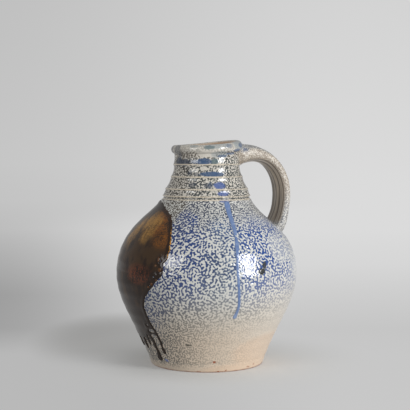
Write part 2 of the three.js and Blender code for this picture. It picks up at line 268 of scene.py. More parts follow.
def tone(screen, description):
    """A colour property, given by its screen values from 0 to 255"""
    default = [linear(channel) for channel in screen]
    options = {"subtype": "COLOR", "size": 3, "min": 0, "max": 1}
    return FloatVectorProperty(default=default, description=description, **options)


def labelled(group):
    """Labels each property of a group with its own name"""
    for name, made in group.__annotations__.items():
        made.keywords["name"] = name.replace("_", " ").capitalize()
    return group


@labelled
class BodySizes(PropertyGroup):
    """Sizes of the thrown body"""

    foot_radius: length(46.3, "Radius of the flat foot")
    foot_edge_rounding: length(0.9, "How far the foot's lower edge is rounded")
    foot_edge_flare: length(0.6, "How far the wall stands out over the foot")
    foot_edge_rise: length(2, "Height at which the wall's curve starts")
    foot_line: length(7, "Height of the fine line cut over the foot")
    foot_line_depth: length(0.25, "Depth of the fine line over the foot")
    belly_radius: length(74.3, "Largest radius of the body")
    belly_height: length(75, "Height of the widest place")
    shoulder_rise: length(60.4, "From the widest place to the top of the shoulder")
    shoulder_top_radius: length(37.4, "Radius at the top of the shoulder")
    foot_run_out: length(11.9, "How far out the lower curve starts off")
    foot_run_up: length(34, "How far up the lower curve starts off")
    belly_run_down: length(23.9, "How far the belly keeps upright below")
    belly_run_up: length(36.8, "How far the belly keeps upright above")
    shoulder_run_out: length(6, "How far out the shoulder's curve ends")
    shoulder_run_down: length(11.7, "How far down the shoulder's curve ends")
    ring_groove: length(0.7, "Depth of the groove under the lowest ring")
    ring_lip: length(0.3, "How far the crest of a ring stands out")
    ring_lip_height: length(0.6, "Half the height of a ring's crest")
    root_ring_rise: length(3.2, "From the shoulder's top to the lowest ring")
    root_ring_radius: length(36.3, "Radius of the lowest ring")
    root_hollow: length(0.4, "Depth of the hollow over the lowest ring")
    lower_ring_rise: length(5.7, "From the lowest ring to the next")
    lower_ring_radius: length(34.1, "Radius of the lower ring")
    lower_hollow: length(0.9, "Depth of the hollow over the lower ring")
    middle_ring_rise: length(9.9, "From the lower ring to the middle one")
    middle_ring_radius: length(29.5, "Radius of the middle ring")
    middle_hollow: length(1.1, "Depth of the hollow over the middle ring")
    upper_ring_rise: length(9.9, "From the middle ring to the upper one")
    upper_ring_radius: length(27.5, "Radius of the upper ring")
    upper_hollow: length(0.6, "Depth of the hollow under the rim")
    rim_rise: length(12.2, "From the upper ring to the middle of the rim's roll")
    rim_outer_radius: length(29.5, "Largest radius of the rim")
    rim_roll_radius: length(3.7, "Radius of the rim's round edge")
    rim_roll_start: turn(-70, "Where the rim's roll starts, from straight out")
    rim_lift: length(4.2, "How far the rim is drawn up at the handle")
    rim_lift_reach: length(20, "Height over which the rim is drawn up")
    wall: length(5, "Thickness of the wall")
    neck_wall: length(4.6, "Thickness of the neck")
    floor_thickness: length(8, "Thickness of the floor inside")
    floor_corner: length(9, "Rounding between the floor and the wall inside")
    press_depth: length(3.5, "How far the shoulder is pushed in at the handle")
    press_height: length(121, "Height at which the shoulder is pushed in most")
    press_reach: length(13, "How far up and down the push reaches")
    press_spread: turn(55, "How far round the push reaches")
    ridge_depth: length(0.1, "Height of the fingers' ridges outside")
    inner_ridge_depth: length(0.45, "Height of the fingers' ridges inside")
    ridge_pitch: length(8.5, "Distance between the fingers' ridges")
    wobble: length(0.35, "How far the turned wall wanders")
    wobble_reach: length(45, "Length over which the wall wanders")


@labelled
class HandleSizes(PropertyGroup):
    """Sizes of the pulled handle"""

    root_drop: length(5.5, "From the middle of the rim's roll to the handle's root")
    root_buried: length(2, "How far the handle's line starts inside the wall")
    finger_room: length(32.3, "Room between the neck and the strap")
    widest_rise: length(2.8, "Height of the bow over the top of the shoulder")
    foot_rise: length(30, "From the widest place of the body to the handle's foot")
    foot_buried: length(5.4, "How far the handle's line ends inside the wall")
    root_run_out: length(28.8, "How far out the line starts off")
    root_run_up: length(9.2, "How far up the line starts off")
    bow_run_up: length(21.9, "How far the bow keeps upright above")
    bow_run_down: length(11.4, "How far the bow keeps upright below")
    foot_run_out: length(7.8, "How far out the line comes in at the foot")
    foot_run_up: length(8.9, "How far up the line comes in at the foot")
    root_width: length(27, "Width at the rim")
    root_thickness: length(16.9, "Thickness at the rim")
    strap_width: length(22.8, "Width of the strap")
    strap_thickness: length(10.4, "Thickness of the strap")
    foot_width: length(27, "Width at the shoulder")
    foot_thickness: length(13.5, "Thickness at the shoulder")
    root_flare: length(40, "Length over which the strap narrows from the rim")
    foot_flare: length(26, "Length over which the strap widens to the shoulder")
    foot_rounding: length(12, "Length of the round tongue at the foot")
    foot_narrowing: amount(0.85, "How far the tongue has closed where it ends")
    squareness: amount(2.4, "Power of the strap's rounded section")
    grooves: whole(2, "Finger grooves on each face")
    groove_depth: length(0.8, "Depth of the finger grooves")
    lines: whole(5, "Fine pulled lines on each face")
    line_depth: length(0.28, "Depth of the fine pulled lines")
    fillet: length(2.2, "How far the clay spreads where the strap meets the wall")
    fillet_reach: length(6, "Distance from the wall at which the spread starts")
    sunk: length(2.6, "How far the ends reach into the wall")
    end_reach: length(4, "Length over which each end bends into the wall")


@labelled
class GlazeSizes(PropertyGroup):
    """Sizes of the two glaze coats"""

    spacing: length(0.85, "Distance between the corners of the glaze meshes")
    bed: length(0.12, "How far a coat reaches into the clay")
    iron_thickness: length(0.45, "Thickness of the iron glaze")
    iron_bead: length(0.28, "Extra thickness along the edge of the iron glaze")
    iron_raggedness: length(0.7, "How far the edge of the iron glaze wanders")
    cobalt_thickness: length(0.4, "Thickness of the cobalt glaze")
    cobalt_bead: length(0.05, "Extra thickness along the edge of the cobalt glaze")
    cobalt_raggedness: length(0.3, "How far the edge of the cobalt glaze wanders")
    bead_inset: length(1.5, "Distance of the bead from the edge")
    fillet: length(1.4, "Width of the fillet where runs of glaze flow together")
    grain: length(3, "Length over which the edges wander")


@labelled
class JugColours(PropertyGroup):
    """Colours of the clay and the glazes"""

    ground: tone((199, 199, 194), "Salt glaze over the light clay")
    neck_ground: tone((196, 191, 181), "Salt glaze on the neck")
    crest: tone((208, 196, 176), "Clay that shows on the crests of the rings")
    buff: tone((207, 191, 172), "Clay with little glaze, near the foot")
    peach: tone((219, 184, 153), "Flush of the clay at the foot")
    inner_clay: tone((176, 142, 112), "Clay inside the jug")
    blue_deep: tone((30, 68, 130), "Middle of the cobalt marks")
    navy_deep: tone((24, 50, 102), "Middle of the cobalt marks beside the iron glaze")
    blue_thin: tone((94, 125, 162), "Edge of the cobalt marks")
    grey_deep: tone((66, 70, 70), "Middle of the grey marks")
    grey_thin: tone((130, 130, 124), "Edge of the grey marks")
    slate_deep: tone((64, 70, 86), "Middle of the marks on the shoulder")
    slate_thin: tone((128, 131, 136), "Edge of the marks on the shoulder")
    brown_deep: tone((72, 64, 54), "Middle of the marks beside the iron glaze")
    brown_thin: tone((124, 116, 103), "Edge of the marks beside the iron glaze")
    pool_blue: tone((54, 80, 114), "Cobalt gathered under the rings")
    pool_cobalt: tone((72, 94, 148), "Cobalt gathered over the run")
    pool_dark: tone((42, 54, 72), "Dark glaze gathered under the rim")
    pool_teal: tone((84, 102, 106), "Green glaze on the rim")
    film: tone((128, 138, 142), "Thin bluish glaze on the rim")
    smear: tone((92, 84, 76), "Brown smears under the rim")
    spot_dark: tone((34, 36, 30), "Iron spots in the clay")
    spot_rust: tone((140, 72, 40), "Rust spots in the clay")
    iron_black: tone((36, 24, 17), "Thick iron glaze")
    iron_brown: tone((64, 46, 28), "Iron glaze of middling thickness")
    iron_gold: tone((170, 126, 60), "Gold bloom in the iron glaze")
    iron_orange: tone((122, 74, 26), "Thin iron glaze")
    iron_rust: tone((104, 54, 32), "Red bloom in the iron glaze")
    # Partly a painted highlight: the amber edge is kept to one band of height
    iron_edge: tone((176, 124, 52), "Thin edge of the iron glaze")
    cobalt: tone((100, 122, 162), "Cobalt run")
    cobalt_thin: tone((144, 158, 184), "Cobalt run where it is thin")
    handle_buff: tone((192, 176, 155), "Clay on the sides of the handle")
    handle_grey: tone((176, 174, 168), "Glazed ground on the back of the handle")
    handle_dark: tone((90, 87, 88), "Marks on the handle")
    handle_inner: tone((204, 190, 172), "Inner face of the handle")
    # Painted shade on the handle's inner face: in its lines, towards its foot and along its far edge
    handle_line: tone((86, 76, 70), "Lines along the inner face")


@labelled
class StageSettings(PropertyGroup):
    """Camera, lamps and floor"""

    lens: setting(94.83, "Focal length", unit="CAMERA")
    camera_distance: length(892.4, "From the jug's axis")
    camera_height: length(180, "Over the floor")
    camera_pitch: turn(3.18, "How far the camera looks down")
    camera_shift: setting(-1.8 / 410, "Shift to the right, as a share of the picture")
    lamp_distance: length(1200, "From the jug to the middle of each softbox")
    lamp_aim: length(80, "Height of the place on the jug that the softboxes face")
    key_strength: amount(14.6, "Brightness of the softbox on the right")
    fill_strength: amount(5.5, "Brightness of the softbox on the left")
    sky_strength: amount(0.38, "Brightness of the room")
    floor_radius: length(9000, "Radius of the floor")
    floor_tone: tone((216, 216, 214), "Colour of the floor round the jug")
    shadow_tone: tone((120, 119, 116), "Colour of the jug's wide, soft shadow")


def bezier(points, shares):
    """Points on a Bézier curve at the given shares of it"""
    shares = np.asarray(shares, float)[:, None]
    degree = len(points) - 1
    weights = [math.comb(degree, i) * shares**i * (1 - shares) ** (degree - i) for i in range(degree + 1)]
    return sum(weight * np.array(point, float) for weight, point in zip(weights, points))


def arch(start, away, towards, end):
    """A curve's four corner points, from its ends and how far its handles lie from them"""
    return start, np.add(start, away), np.add(end, towards), end


def even(steps):
    """Even shares of a curve, without its start"""
    return np.linspace(0, 1, steps + 1)[1:]


def crowded(steps):
    """Shares of a curve that lie closer together at both ends, without its start"""
    return (1 - np.cos(np.pi * even(steps))) / 2


def ring_table(body):
    """Each throwing ring's height and radius, and the depth of the hollow over it"""
    rows = []
    height = body.belly_height + body.shoulder_rise
    for name in ("root", "lower", "middle", "upper"):
        height += getattr(body, f"{name}_ring_rise")
        rows.append((height, getattr(body, f"{name}_ring_radius"), getattr(body, f"{name}_hollow")))
    return rows


def rim_middle(body):
    """Radius and height of the middle of the rim's roll"""
    return body.rim_outer_radius - body.rim_roll_radius, ring_table(body)[-1][0] + body.rim_rise


def roll(body, start, end, steps):
    """Points on the rim's roll between two angles, without the first"""
    angles = start + (end - start) * even(steps)
    circle = np.stack([np.cos(angles), np.sin(angles)], 1)
    return np.array(rim_middle(body)) + body.rim_roll_radius * circle


def belly_curves(body):
    """Corner points of the wall's two curves: foot to belly, and belly to shoulder"""
    foot = (body.foot_radius + body.foot_edge_flare, body.foot_edge_rise)
    belly = (body.belly_radius, body.belly_height)
    top = (body.shoulder_top_radius, body.belly_height + body.shoulder_rise)
    from_foot = (body.foot_run_out, body.foot_run_up)
    to_top = (body.shoulder_run_out, -body.shoulder_run_down)
    lower = arch(foot, from_foot, (0, -body.belly_run_down), belly)
    return lower, arch(belly, (0, body.belly_run_up), to_top, top)


def between(values, low, high):
    """0 below low and 1 above high, with a smooth step between them"""
    shares = np.clip((values - low) / (high - low), 0, 1)
    return shares * shares * (3 - 2 * shares)


def belly_outside(body):
    """Outside of the turned wall, from the edge of the foot to the top of the shoulder"""
    lower, shoulder = belly_curves(body)
    edge = ((body.foot_radius - body.foot_edge_rounding, 0), (body.foot_radius, 0), lower[0])
    wall = np.vstack([
        bezier(edge, np.concatenate([[0], even(FOOT_EDGE_ROWS)])),
        bezier(lower, even(BELLY_ROWS) ** BELLY_CROWDING),
        bezier(shoulder, even(SHOULDER_ROWS)),
    ])
    height = wall[:, 1]
    top = body.belly_height + body.shoulder_rise
    fade = 20 * MM
    faded = between(height, 0, fade) * between(height, top, top - fade)
    wall[:, 0] += body.ridge_depth * faded * np.sin(2 * math.pi * height / body.ridge_pitch)
    line_reach = 0.6 * MM
    line = np.exp(-(((height - body.foot_line) / line_reach) ** 2))
    wall[:, 0] -= body.foot_line_depth * line
    return wall


def neck_outside(body):
    """Outside of the neck: a groove, then rings with a hollow over each, then the rim's roll"""
    rings = ring_table(body)
    middle = rim_middle(body)
    start = body.rim_roll_start
    under_rim = (
        middle[1] + body.rim_roll_radius * math.sin(start),
        middle[0] + body.rim_roll_radius * math.cos(start),
    )
    lip = (body.shoulder_top_radius, body.belly_height + body.shoulder_rise)
    groove = (rings[0][1] - 2 * body.ring_groove, rings[0][0] - body.root_ring_rise / 2)
    rows = [bezier((lip, groove, (rings[0][1], rings[0][0])), even(GROOVE_ROWS))]
    for ring, above in zip(rings, [*rings[1:], under_rim]):
        height, radius, hollow = ring
        bend = ((radius + above[1]) / 2 - 2 * hollow, (height + above[0]) / 2)
        rows.append(bezier(((radius, height), bend, (above[1], above[0])), crowded(HOLLOW_ROWS)))
    neck = np.vstack(rows)
    for height, _, _ in rings:
        neck[:, 0] += body.ring_lip * np.exp(-(((neck[:, 1] - height) / body.ring_lip_height) ** 2))
    return np.vstack([neck, roll(body, start, math.pi / 2, RIM_ROWS)])


def inside_profile(body):
    """Inside of the body, from the crest of the rim to the middle of the floor"""
    over_rim = roll(body, math.pi / 2, math.pi, RIM_ROWS // 2)
    neck = [(radius - body.neck_wall, height) for height, radius, _ in reversed(ring_table(body))]
    lower, shoulder = belly_curves(body)
    rows = np.linspace(0, 1, CURVE_STEPS)
    wall = np.vstack([bezier(lower, rows), bezier(shoulder, even(CURVE_STEPS))])
    slope = np.gradient(wall, axis=0)
    slope /= np.hypot(*slope.T)[:, None]
    inner = wall + body.wall * np.stack([-slope[:, 1], slope[:, 0]], 1)
    corner_top = body.floor_thickness + body.floor_corner
    neck_bottom = neck[-1][1] - 3 * MM
    inner = inner[(inner[:, 1] > corner_top) & (inner[:, 1] < neck_bottom)][::-1]
    spacing = len(inner) // 12
    line = smooth_line([over_rim[-1], *neck, *inner[::spacing], inner[-1]], 8)
    arc = arc_lengths(line)
    places = arc[-1] * even(INSIDE_ROWS)
    side = np.stack([np.interp(places, arc, line[:, 0]), np.interp(places, arc, line[:, 1])], 1)
    ridges = body.inner_ridge_depth * np.sin(2 * math.pi * side[:, 1] / body.ridge_pitch)
    ridges_end, ridges_full = 150 * MM, 120 * MM
    side[:, 0] += ridges * between(side[:, 1], ridges_end, ridges_full)
    start = inner[-1]
    edge = start[0] - body.floor_corner
    bend = (edge + body.floor_corner / 2, body.floor_thickness)
    corner = bezier((start, bend, (edge, body.floor_thickness)), even(CORNER_ROWS))
    floor = [(edge * (1 - far), body.floor_thickness) for far in even(CORNER_ROWS)]
    return np.vstack([over_rim, side, corner, floor])


def arc_lengths(points):
    """Distance along a line at each of its points"""
    steps = np.sqrt((np.diff(points, axis=0) ** 2).sum(1))
    return np.concatenate([[0], np.cumsum(steps)])


def smooth_line(points, steps, closed=False):
    """A Catmull-Rom curve through the points"""
    points = np.array(points, float)
    if closed:
        padded = np.vstack([points[-1:], points, points[:2]])
    else:
        padded = np.vstack([2 * points[:1] - points[1:2], points, 2 * points[-1:] - points[-2:-1]])
    shares = np.linspace(0, 1, steps, endpoint=False)[:, None]
    rows = []
    for a, b, c, d in zip(padded, padded[1:], padded[2:], padded[3:]):
        bend = (2 * a - 5 * b + 4 * c - d) * shares**2 + (3 * b - a - 3 * c + d) * shares**3
        rows.append(b + 0.5 * ((c - a) * shares + bend))
    if not closed:
        rows.append(points[-1:])
    return np.vstack(rows)


class Value:
    """A socket in arithmetic: an expression on values adds its Math nodes"""

    def __init__(self, graph, socket):
        self.graph = graph
        self.socket = socket

    def math(self, operation, *others):
        return self.graph.math(operation, self, *others)

    __add__ = __radd__ = partialmethod(math, "ADD")
    __mul__ = __rmul__ = partialmethod(math, "MULTIPLY")
    __sub__ = partialmethod(math, "SUBTRACT")
    __truediv__ = partialmethod(math, "DIVIDE")

    def __rsub__(self, other):
        return self.graph.math("SUBTRACT", other, self)

    def __rtruediv__(self, other):
        return self.graph.math("DIVIDE", other, self)

    def __neg__(self):
        return self * -1

    def above(self, low, high):
        """0 below low and 1 above high, with a smooth step between them; low may be the higher one"""
        sockets = {0: self, 1: low, 2: high}
        return self.graph.add("ShaderNodeMapRange", {"interpolation_type": "SMOOTHSTEP"}, sockets)

    def near(self, middle, reach):
        """1 at the middle, falling to 0 at the reach on both sides"""
        return (self - middle).math("ABSOLUTE").above(reach, 0)


class Graph:
    """Adds nodes to a node tree"""

    def __init__(self, tree):
        self.tree = tree

    def add(self, kind, settings=None, sockets=None, output=0):
        """A node with its settings set first and then its sockets, as the value of one output"""
        node = self.tree.nodes.new(kind)
        for name, value in (settings or {}).items():
            if name == "stops":
                self.fill_ramp(node.color_ramp, value)
            else:
                setattr(node, name, value)
        for key, value in (sockets or {}).items():
            if isinstance(value, Value):
                self.tree.links.new(value.socket, node.inputs[key])
            else:
                node.inputs[key].default_value = value
        return Value(self, node.outputs[output])

    def fill_ramp(self, ramp, stops):
        first, *others = stops
        ramp.elements.remove(ramp.elements[-1])
        ramp.elements[0].position, ramp.elements[0].color = first
        for position, color in others:
            ramp.elements.new(position).color = color

    def math(self, operation, *values):
        return self.add("ShaderNodeMath", {"operation": operation}, dict(enumerate(values)))

    def split(self, vector):
        """The three parts of a vector"""
        node = self.add("ShaderNodeSeparateXYZ", None, {0: vector}).socket.node
        return [Value(self, socket) for socket in node.outputs]

    def join(self, *parts):
        return self.add("ShaderNodeCombineXYZ", None, dict(enumerate(parts)))

    def noise(self, place, scale, detail=0.0, roughness=0.5):
        """Soft noise round 0, mostly within -0.5 and 0.5"""
        sockets = {"Vector": place, "Scale": scale, "Detail": detail, "Roughness": roughness}
        return self.add("ShaderNodeTexNoise", {"noise_dimensions": "3D"}, sockets) - 0.5

    def largest(self, first, *others):
        for other in others:
            first = first.math("MAXIMUM", other)
        return first

    def add_output(self, surface, kind="ShaderNodeOutputMaterial"):
        output = self.tree.nodes.new(kind)
        self.tree.links.new(surface.socket, output.inputs["Surface"])


class Shaper(Graph):
    """A Geometry Nodes tree with named inputs"""

    def __init__(self, name):
        super().__init__(bpy.data.node_groups.new(name, "GeometryNodeTree"))
        self.inputs = {}
        self.tree.interface.new_socket("Mesh", in_out="INPUT", socket_type="NodeSocketGeometry")
        self.tree.interface.new_socket("Mesh", in_out="OUTPUT", socket_type="NodeSocketGeometry")
        self.entry = self.tree.nodes.new("NodeGroupInput")
        self.geometry = Value(self, self.entry.outputs[0])

    def size(self, name, kind="NodeSocketFloat"):
        """A named input of the tree"""
        item = self.tree.interface.new_socket(name, in_out="INPUT", socket_type=kind)
        self.inputs[name] = item.identifier
        return Value(self, self.entry.outputs[len(self.inputs)])

    def finish(self, geometry):
        """Ends the tree in real faces with their material"""
        material = self.size("Material", "NodeSocketMaterial")
        real = self.add("GeometryNodeRealizeInstances", None, {0: geometry})
        painted = self.add("GeometryNodeSetMaterial", None, {"Geometry": real, "Material": material})
        exit_node = self.tree.nodes.new("NodeGroupOutput")
        self.tree.links.new(painted.socket, exit_node.inputs[0])

    def made(self, piece, values):
        """The piece with this tree's result as its plain mesh"""
        modifier = piece.modifiers.new(self.tree.name, "NODES")
        modifier.node_group = self.tree
        for name, value in values.items():
            modifier[self.inputs[name]] = value
        graph = bpy.context.evaluated_depsgraph_get()
        mesh = bpy.data.meshes.new_from_object(piece.evaluated_get(graph))
        piece.modifiers.remove(modifier)
        piece.data = mesh
        mesh.name = piece.name
        mesh.polygons.foreach_set("use_smooth", [True] * len(mesh.polygons))
        return piece

    def hand_shaping(self, geometry):
        """Clay moved by hand after throwing: shoulder pushed in, rim drawn up, wall slightly uneven"""
        place = self.add("GeometryNodeInputPosition")
        x, y, height = self.split(place)
        radius = (x * x + y * y).math("SQRT")
        angle = y.math("ARCTAN2", x)
        across = (angle / self.size("Press Spread")).math("POWER", 2)
        upright = ((height - self.size("Press Height")) / self.size("Press Reach")).math("POWER", 2)
        pushed = self.size("Press Depth") * (-across).math("EXPONENT") * (-upright).math("EXPONENT")
        scale = 1 / self.size("Wobble Reach")
        wobble = self.noise(place, scale) * self.size("Wobble") * height.above(0, 20 * MM)
        moved = radius - pushed.math("MINIMUM", radius) + wobble * radius.above(0, 20 * MM)
        near = (height - self.size("Rim Top")) / self.size("Rim Lift Reach") + 1
        side = (angle.math("COSINE") + 1) / 2
        lift = (near.math("MAXIMUM", 0).math("MINIMUM", 1) * side).math("POWER", 2)
        lifted = height + lift * self.size("Rim Lift")
        flat = self.join(angle.math("COSINE") * moved, angle.math("SINE") * moved, lifted)
        return self.add("GeometryNodeSetPosition", None, {"Geometry": geometry, "Position": flat})


def hand_sizes(body):
    """What hand_shaping's inputs are set to"""
    names = ("Press Spread", "Press Height", "Press Reach", "Press Depth", "Wobble Reach", "Wobble")
    names += ("Rim Lift Reach", "Rim Lift")
    sizes = {name: getattr(body, name.lower().replace(" ", "_")) for name in names}
    return {**sizes, "Rim Top": rim_middle(body)[1] + body.rim_roll_radius}


class Paint(Graph):
    """A material's tree. Lengths in it are millimetres, and angles are degrees from the front."""

    def __init__(self, name, height=None):
        self.material = bpy.data.materials.new(name)
        self.material.use_nodes = True
        super().__init__(self.material.node_tree)
        self.tree.nodes.clear()
        metres = self.add("ShaderNodeTexCoord", None, None, "Object")
        settings = {"operation": "SCALE"}
        self.place = self.add("ShaderNodeVectorMath", settings, {0: metres, "Scale": 1 / MM})
        self.x, self.y, self.z = self.split(self.place)
        front = math.radians(FRONT)
        self.towards = self.x * math.cos(front) + self.y * math.sin(front)
        self.sideways = self.y * math.cos(front) - self.x * math.sin(front)
        self.angle = self.sideways.math("ARCTAN2", self.towards) * math.degrees(1)
        self.height = self.attribute(height) / MM if height else self.z

    def attribute(self, name):
        return self.add("ShaderNodeAttribute", {"attribute_name": name}, None, "Fac")

    def mottle(self, pitch):
        """Marks of one size in an even spread: two noises, each less its own mean close by"""
        scale = 1.76 / pitch
        reach = 0.2 * pitch
        turned = self.join(self.x * 0.8 - self.y * 0.6, self.x * 0.6 + self.y * 0.8, self.z + 57)
        total = 0
        for place in (self.place, turned):
            around = 0
            for signs in ((1, 1, 1), (1, -1, -1), (-1, 1, -1), (-1, -1, 1)):
                offset = [sign * reach for sign in signs]
                moved = self.add("ShaderNodeVectorMath", {"operation": "ADD"}, {0: place, 1: offset})
                around = self.noise(moved, scale) + around
            total = self.noise(place, scale) - around / 4 + total
        return total * 1.6

    def mix(self, share, first, second):
        settings = {"data_type": "RGBA"}
        colours = [value if isinstance(value, Value) else (*value, 1) for value in (first, second)]
        return self.add("ShaderNodeMix", settings, {0: share, 6: colours[0], 7: colours[1]}, 2)

    def coats(self, colour, *layers):
        """A colour under layers, each given as its share and its colour"""
        for share, over in layers:
            colour = self.mix(share, colour, over)
        return colour

    def blend(self, share, first, second):
        """Between two values by a share"""
        return first + (second - first) * share

    def hills(self, places, angle, height):
        """The highest of elliptical hills on the wall, each 1 in its middle and 0 at its edge"""
        found = []
        for middle, level, wide, tall in places:
            across = (angle - from_front(middle)) / wide
            up = (height - level) / tall
            found.append(1 - across * across - up * up)
        return self.largest(*found)

    @cached_property
    def ragged(self):
        """The angle and the height, both wandering a little"""
        angle = self.angle + self.noise(self.place, 0.22, 2, 0.6) * 7
        return angle, self.height + self.noise(self.place, 0.5, 1) * 1.2

    def spots(self, places, full=0.55):
        """1 in the middles of elliptical spots, fading to 0 at their ragged edges"""
        return self.hills(places, *self.ragged).above(0, full)

    def dots(self, places):
        """Round spots at exact places, highest in their middles"""
        return self.hills(places, self.angle, self.height).math("MAXIMUM", 0).math("SQRT")

    def by_angle(self, stops, most):
        """A value that follows the angle, given as (angle, value) stops and the largest value"""
        places = sorted(((from_front(angle) + 180) / 360, value / most) for angle, value in stops)
        first, last = places[0], places[-1]
        gap = first[0] + 1 - last[0]
        seam = last[1] + (first[1] - last[1]) * (1 - last[0]) / gap
        ends = [(0, seam), *places, (1, seam)]
        ramp = [(place, (value, value, value, 1)) for place, value in ends]
        share = self.angle / 360 + 0.5
        return self.add("ShaderNodeValToRGB", {"stops": ramp}, {0: share}) * most

    def finish(self, colour, relief, roughness, ior):
        """The glossy surface shader, with its relief in millimetres"""
        normal = self.add("ShaderNodeBump", None, {"Height": relief, "Distance": MM})
        sockets = {"Base Color": colour, "Roughness": roughness, "Normal": normal, "IOR": ior}
        self.add_output(self.add("ShaderNodeBsdfPrincipled", None, sockets))
        return self.material


def from_front(angle):
    """An angle round from the handle as one from the front, within half a turn either way"""
    return (angle - FRONT + 180) % 360 - 180


# By angle: the height at which the mottle is half as strong, its strength at the foot, the
# height up to which it is blue, and how much of each mark is deep in colour
MOTTLE_FOOT = (
    (180, 38), (205, 40), (225, 42), (240, 46), (262, 48), (275, 50), (283, 54), (295, 56),
    (310, 61), (334, 70), (0, 68), (30, 56), (63, 46), (100, 38), (140, 36),
)
MOTTLE_BELOW = (
    (180, 0.95), (205, 0.86), (226, 0.57), (245, 0.31), (262, 0.24), (280, 0.16), (300, 0.1),
    (334, 0.12), (0, 0.2), (60, 0.4), (120, 0.7),
)
BLUE_TOP = (
    (180, 114), (205, 116), (222, 124), (240, 116), (262, 118), (280, 121), (300, 122), (330, 120),
    (0, 118), (60, 114), (120, 112),
)
MARK_DEPTH = (
    (180, 0.32), (205, 0.34), (218, 0.38), (230, 0.4), (241, 0.3), (249, 0.04), (257, 0),
    (264, 0.1), (270, 0.2), (282, 0.38), (300, 0.38), (330, 0.22), (0, 0.14), (60, 0.16), (120, 0.2),
)


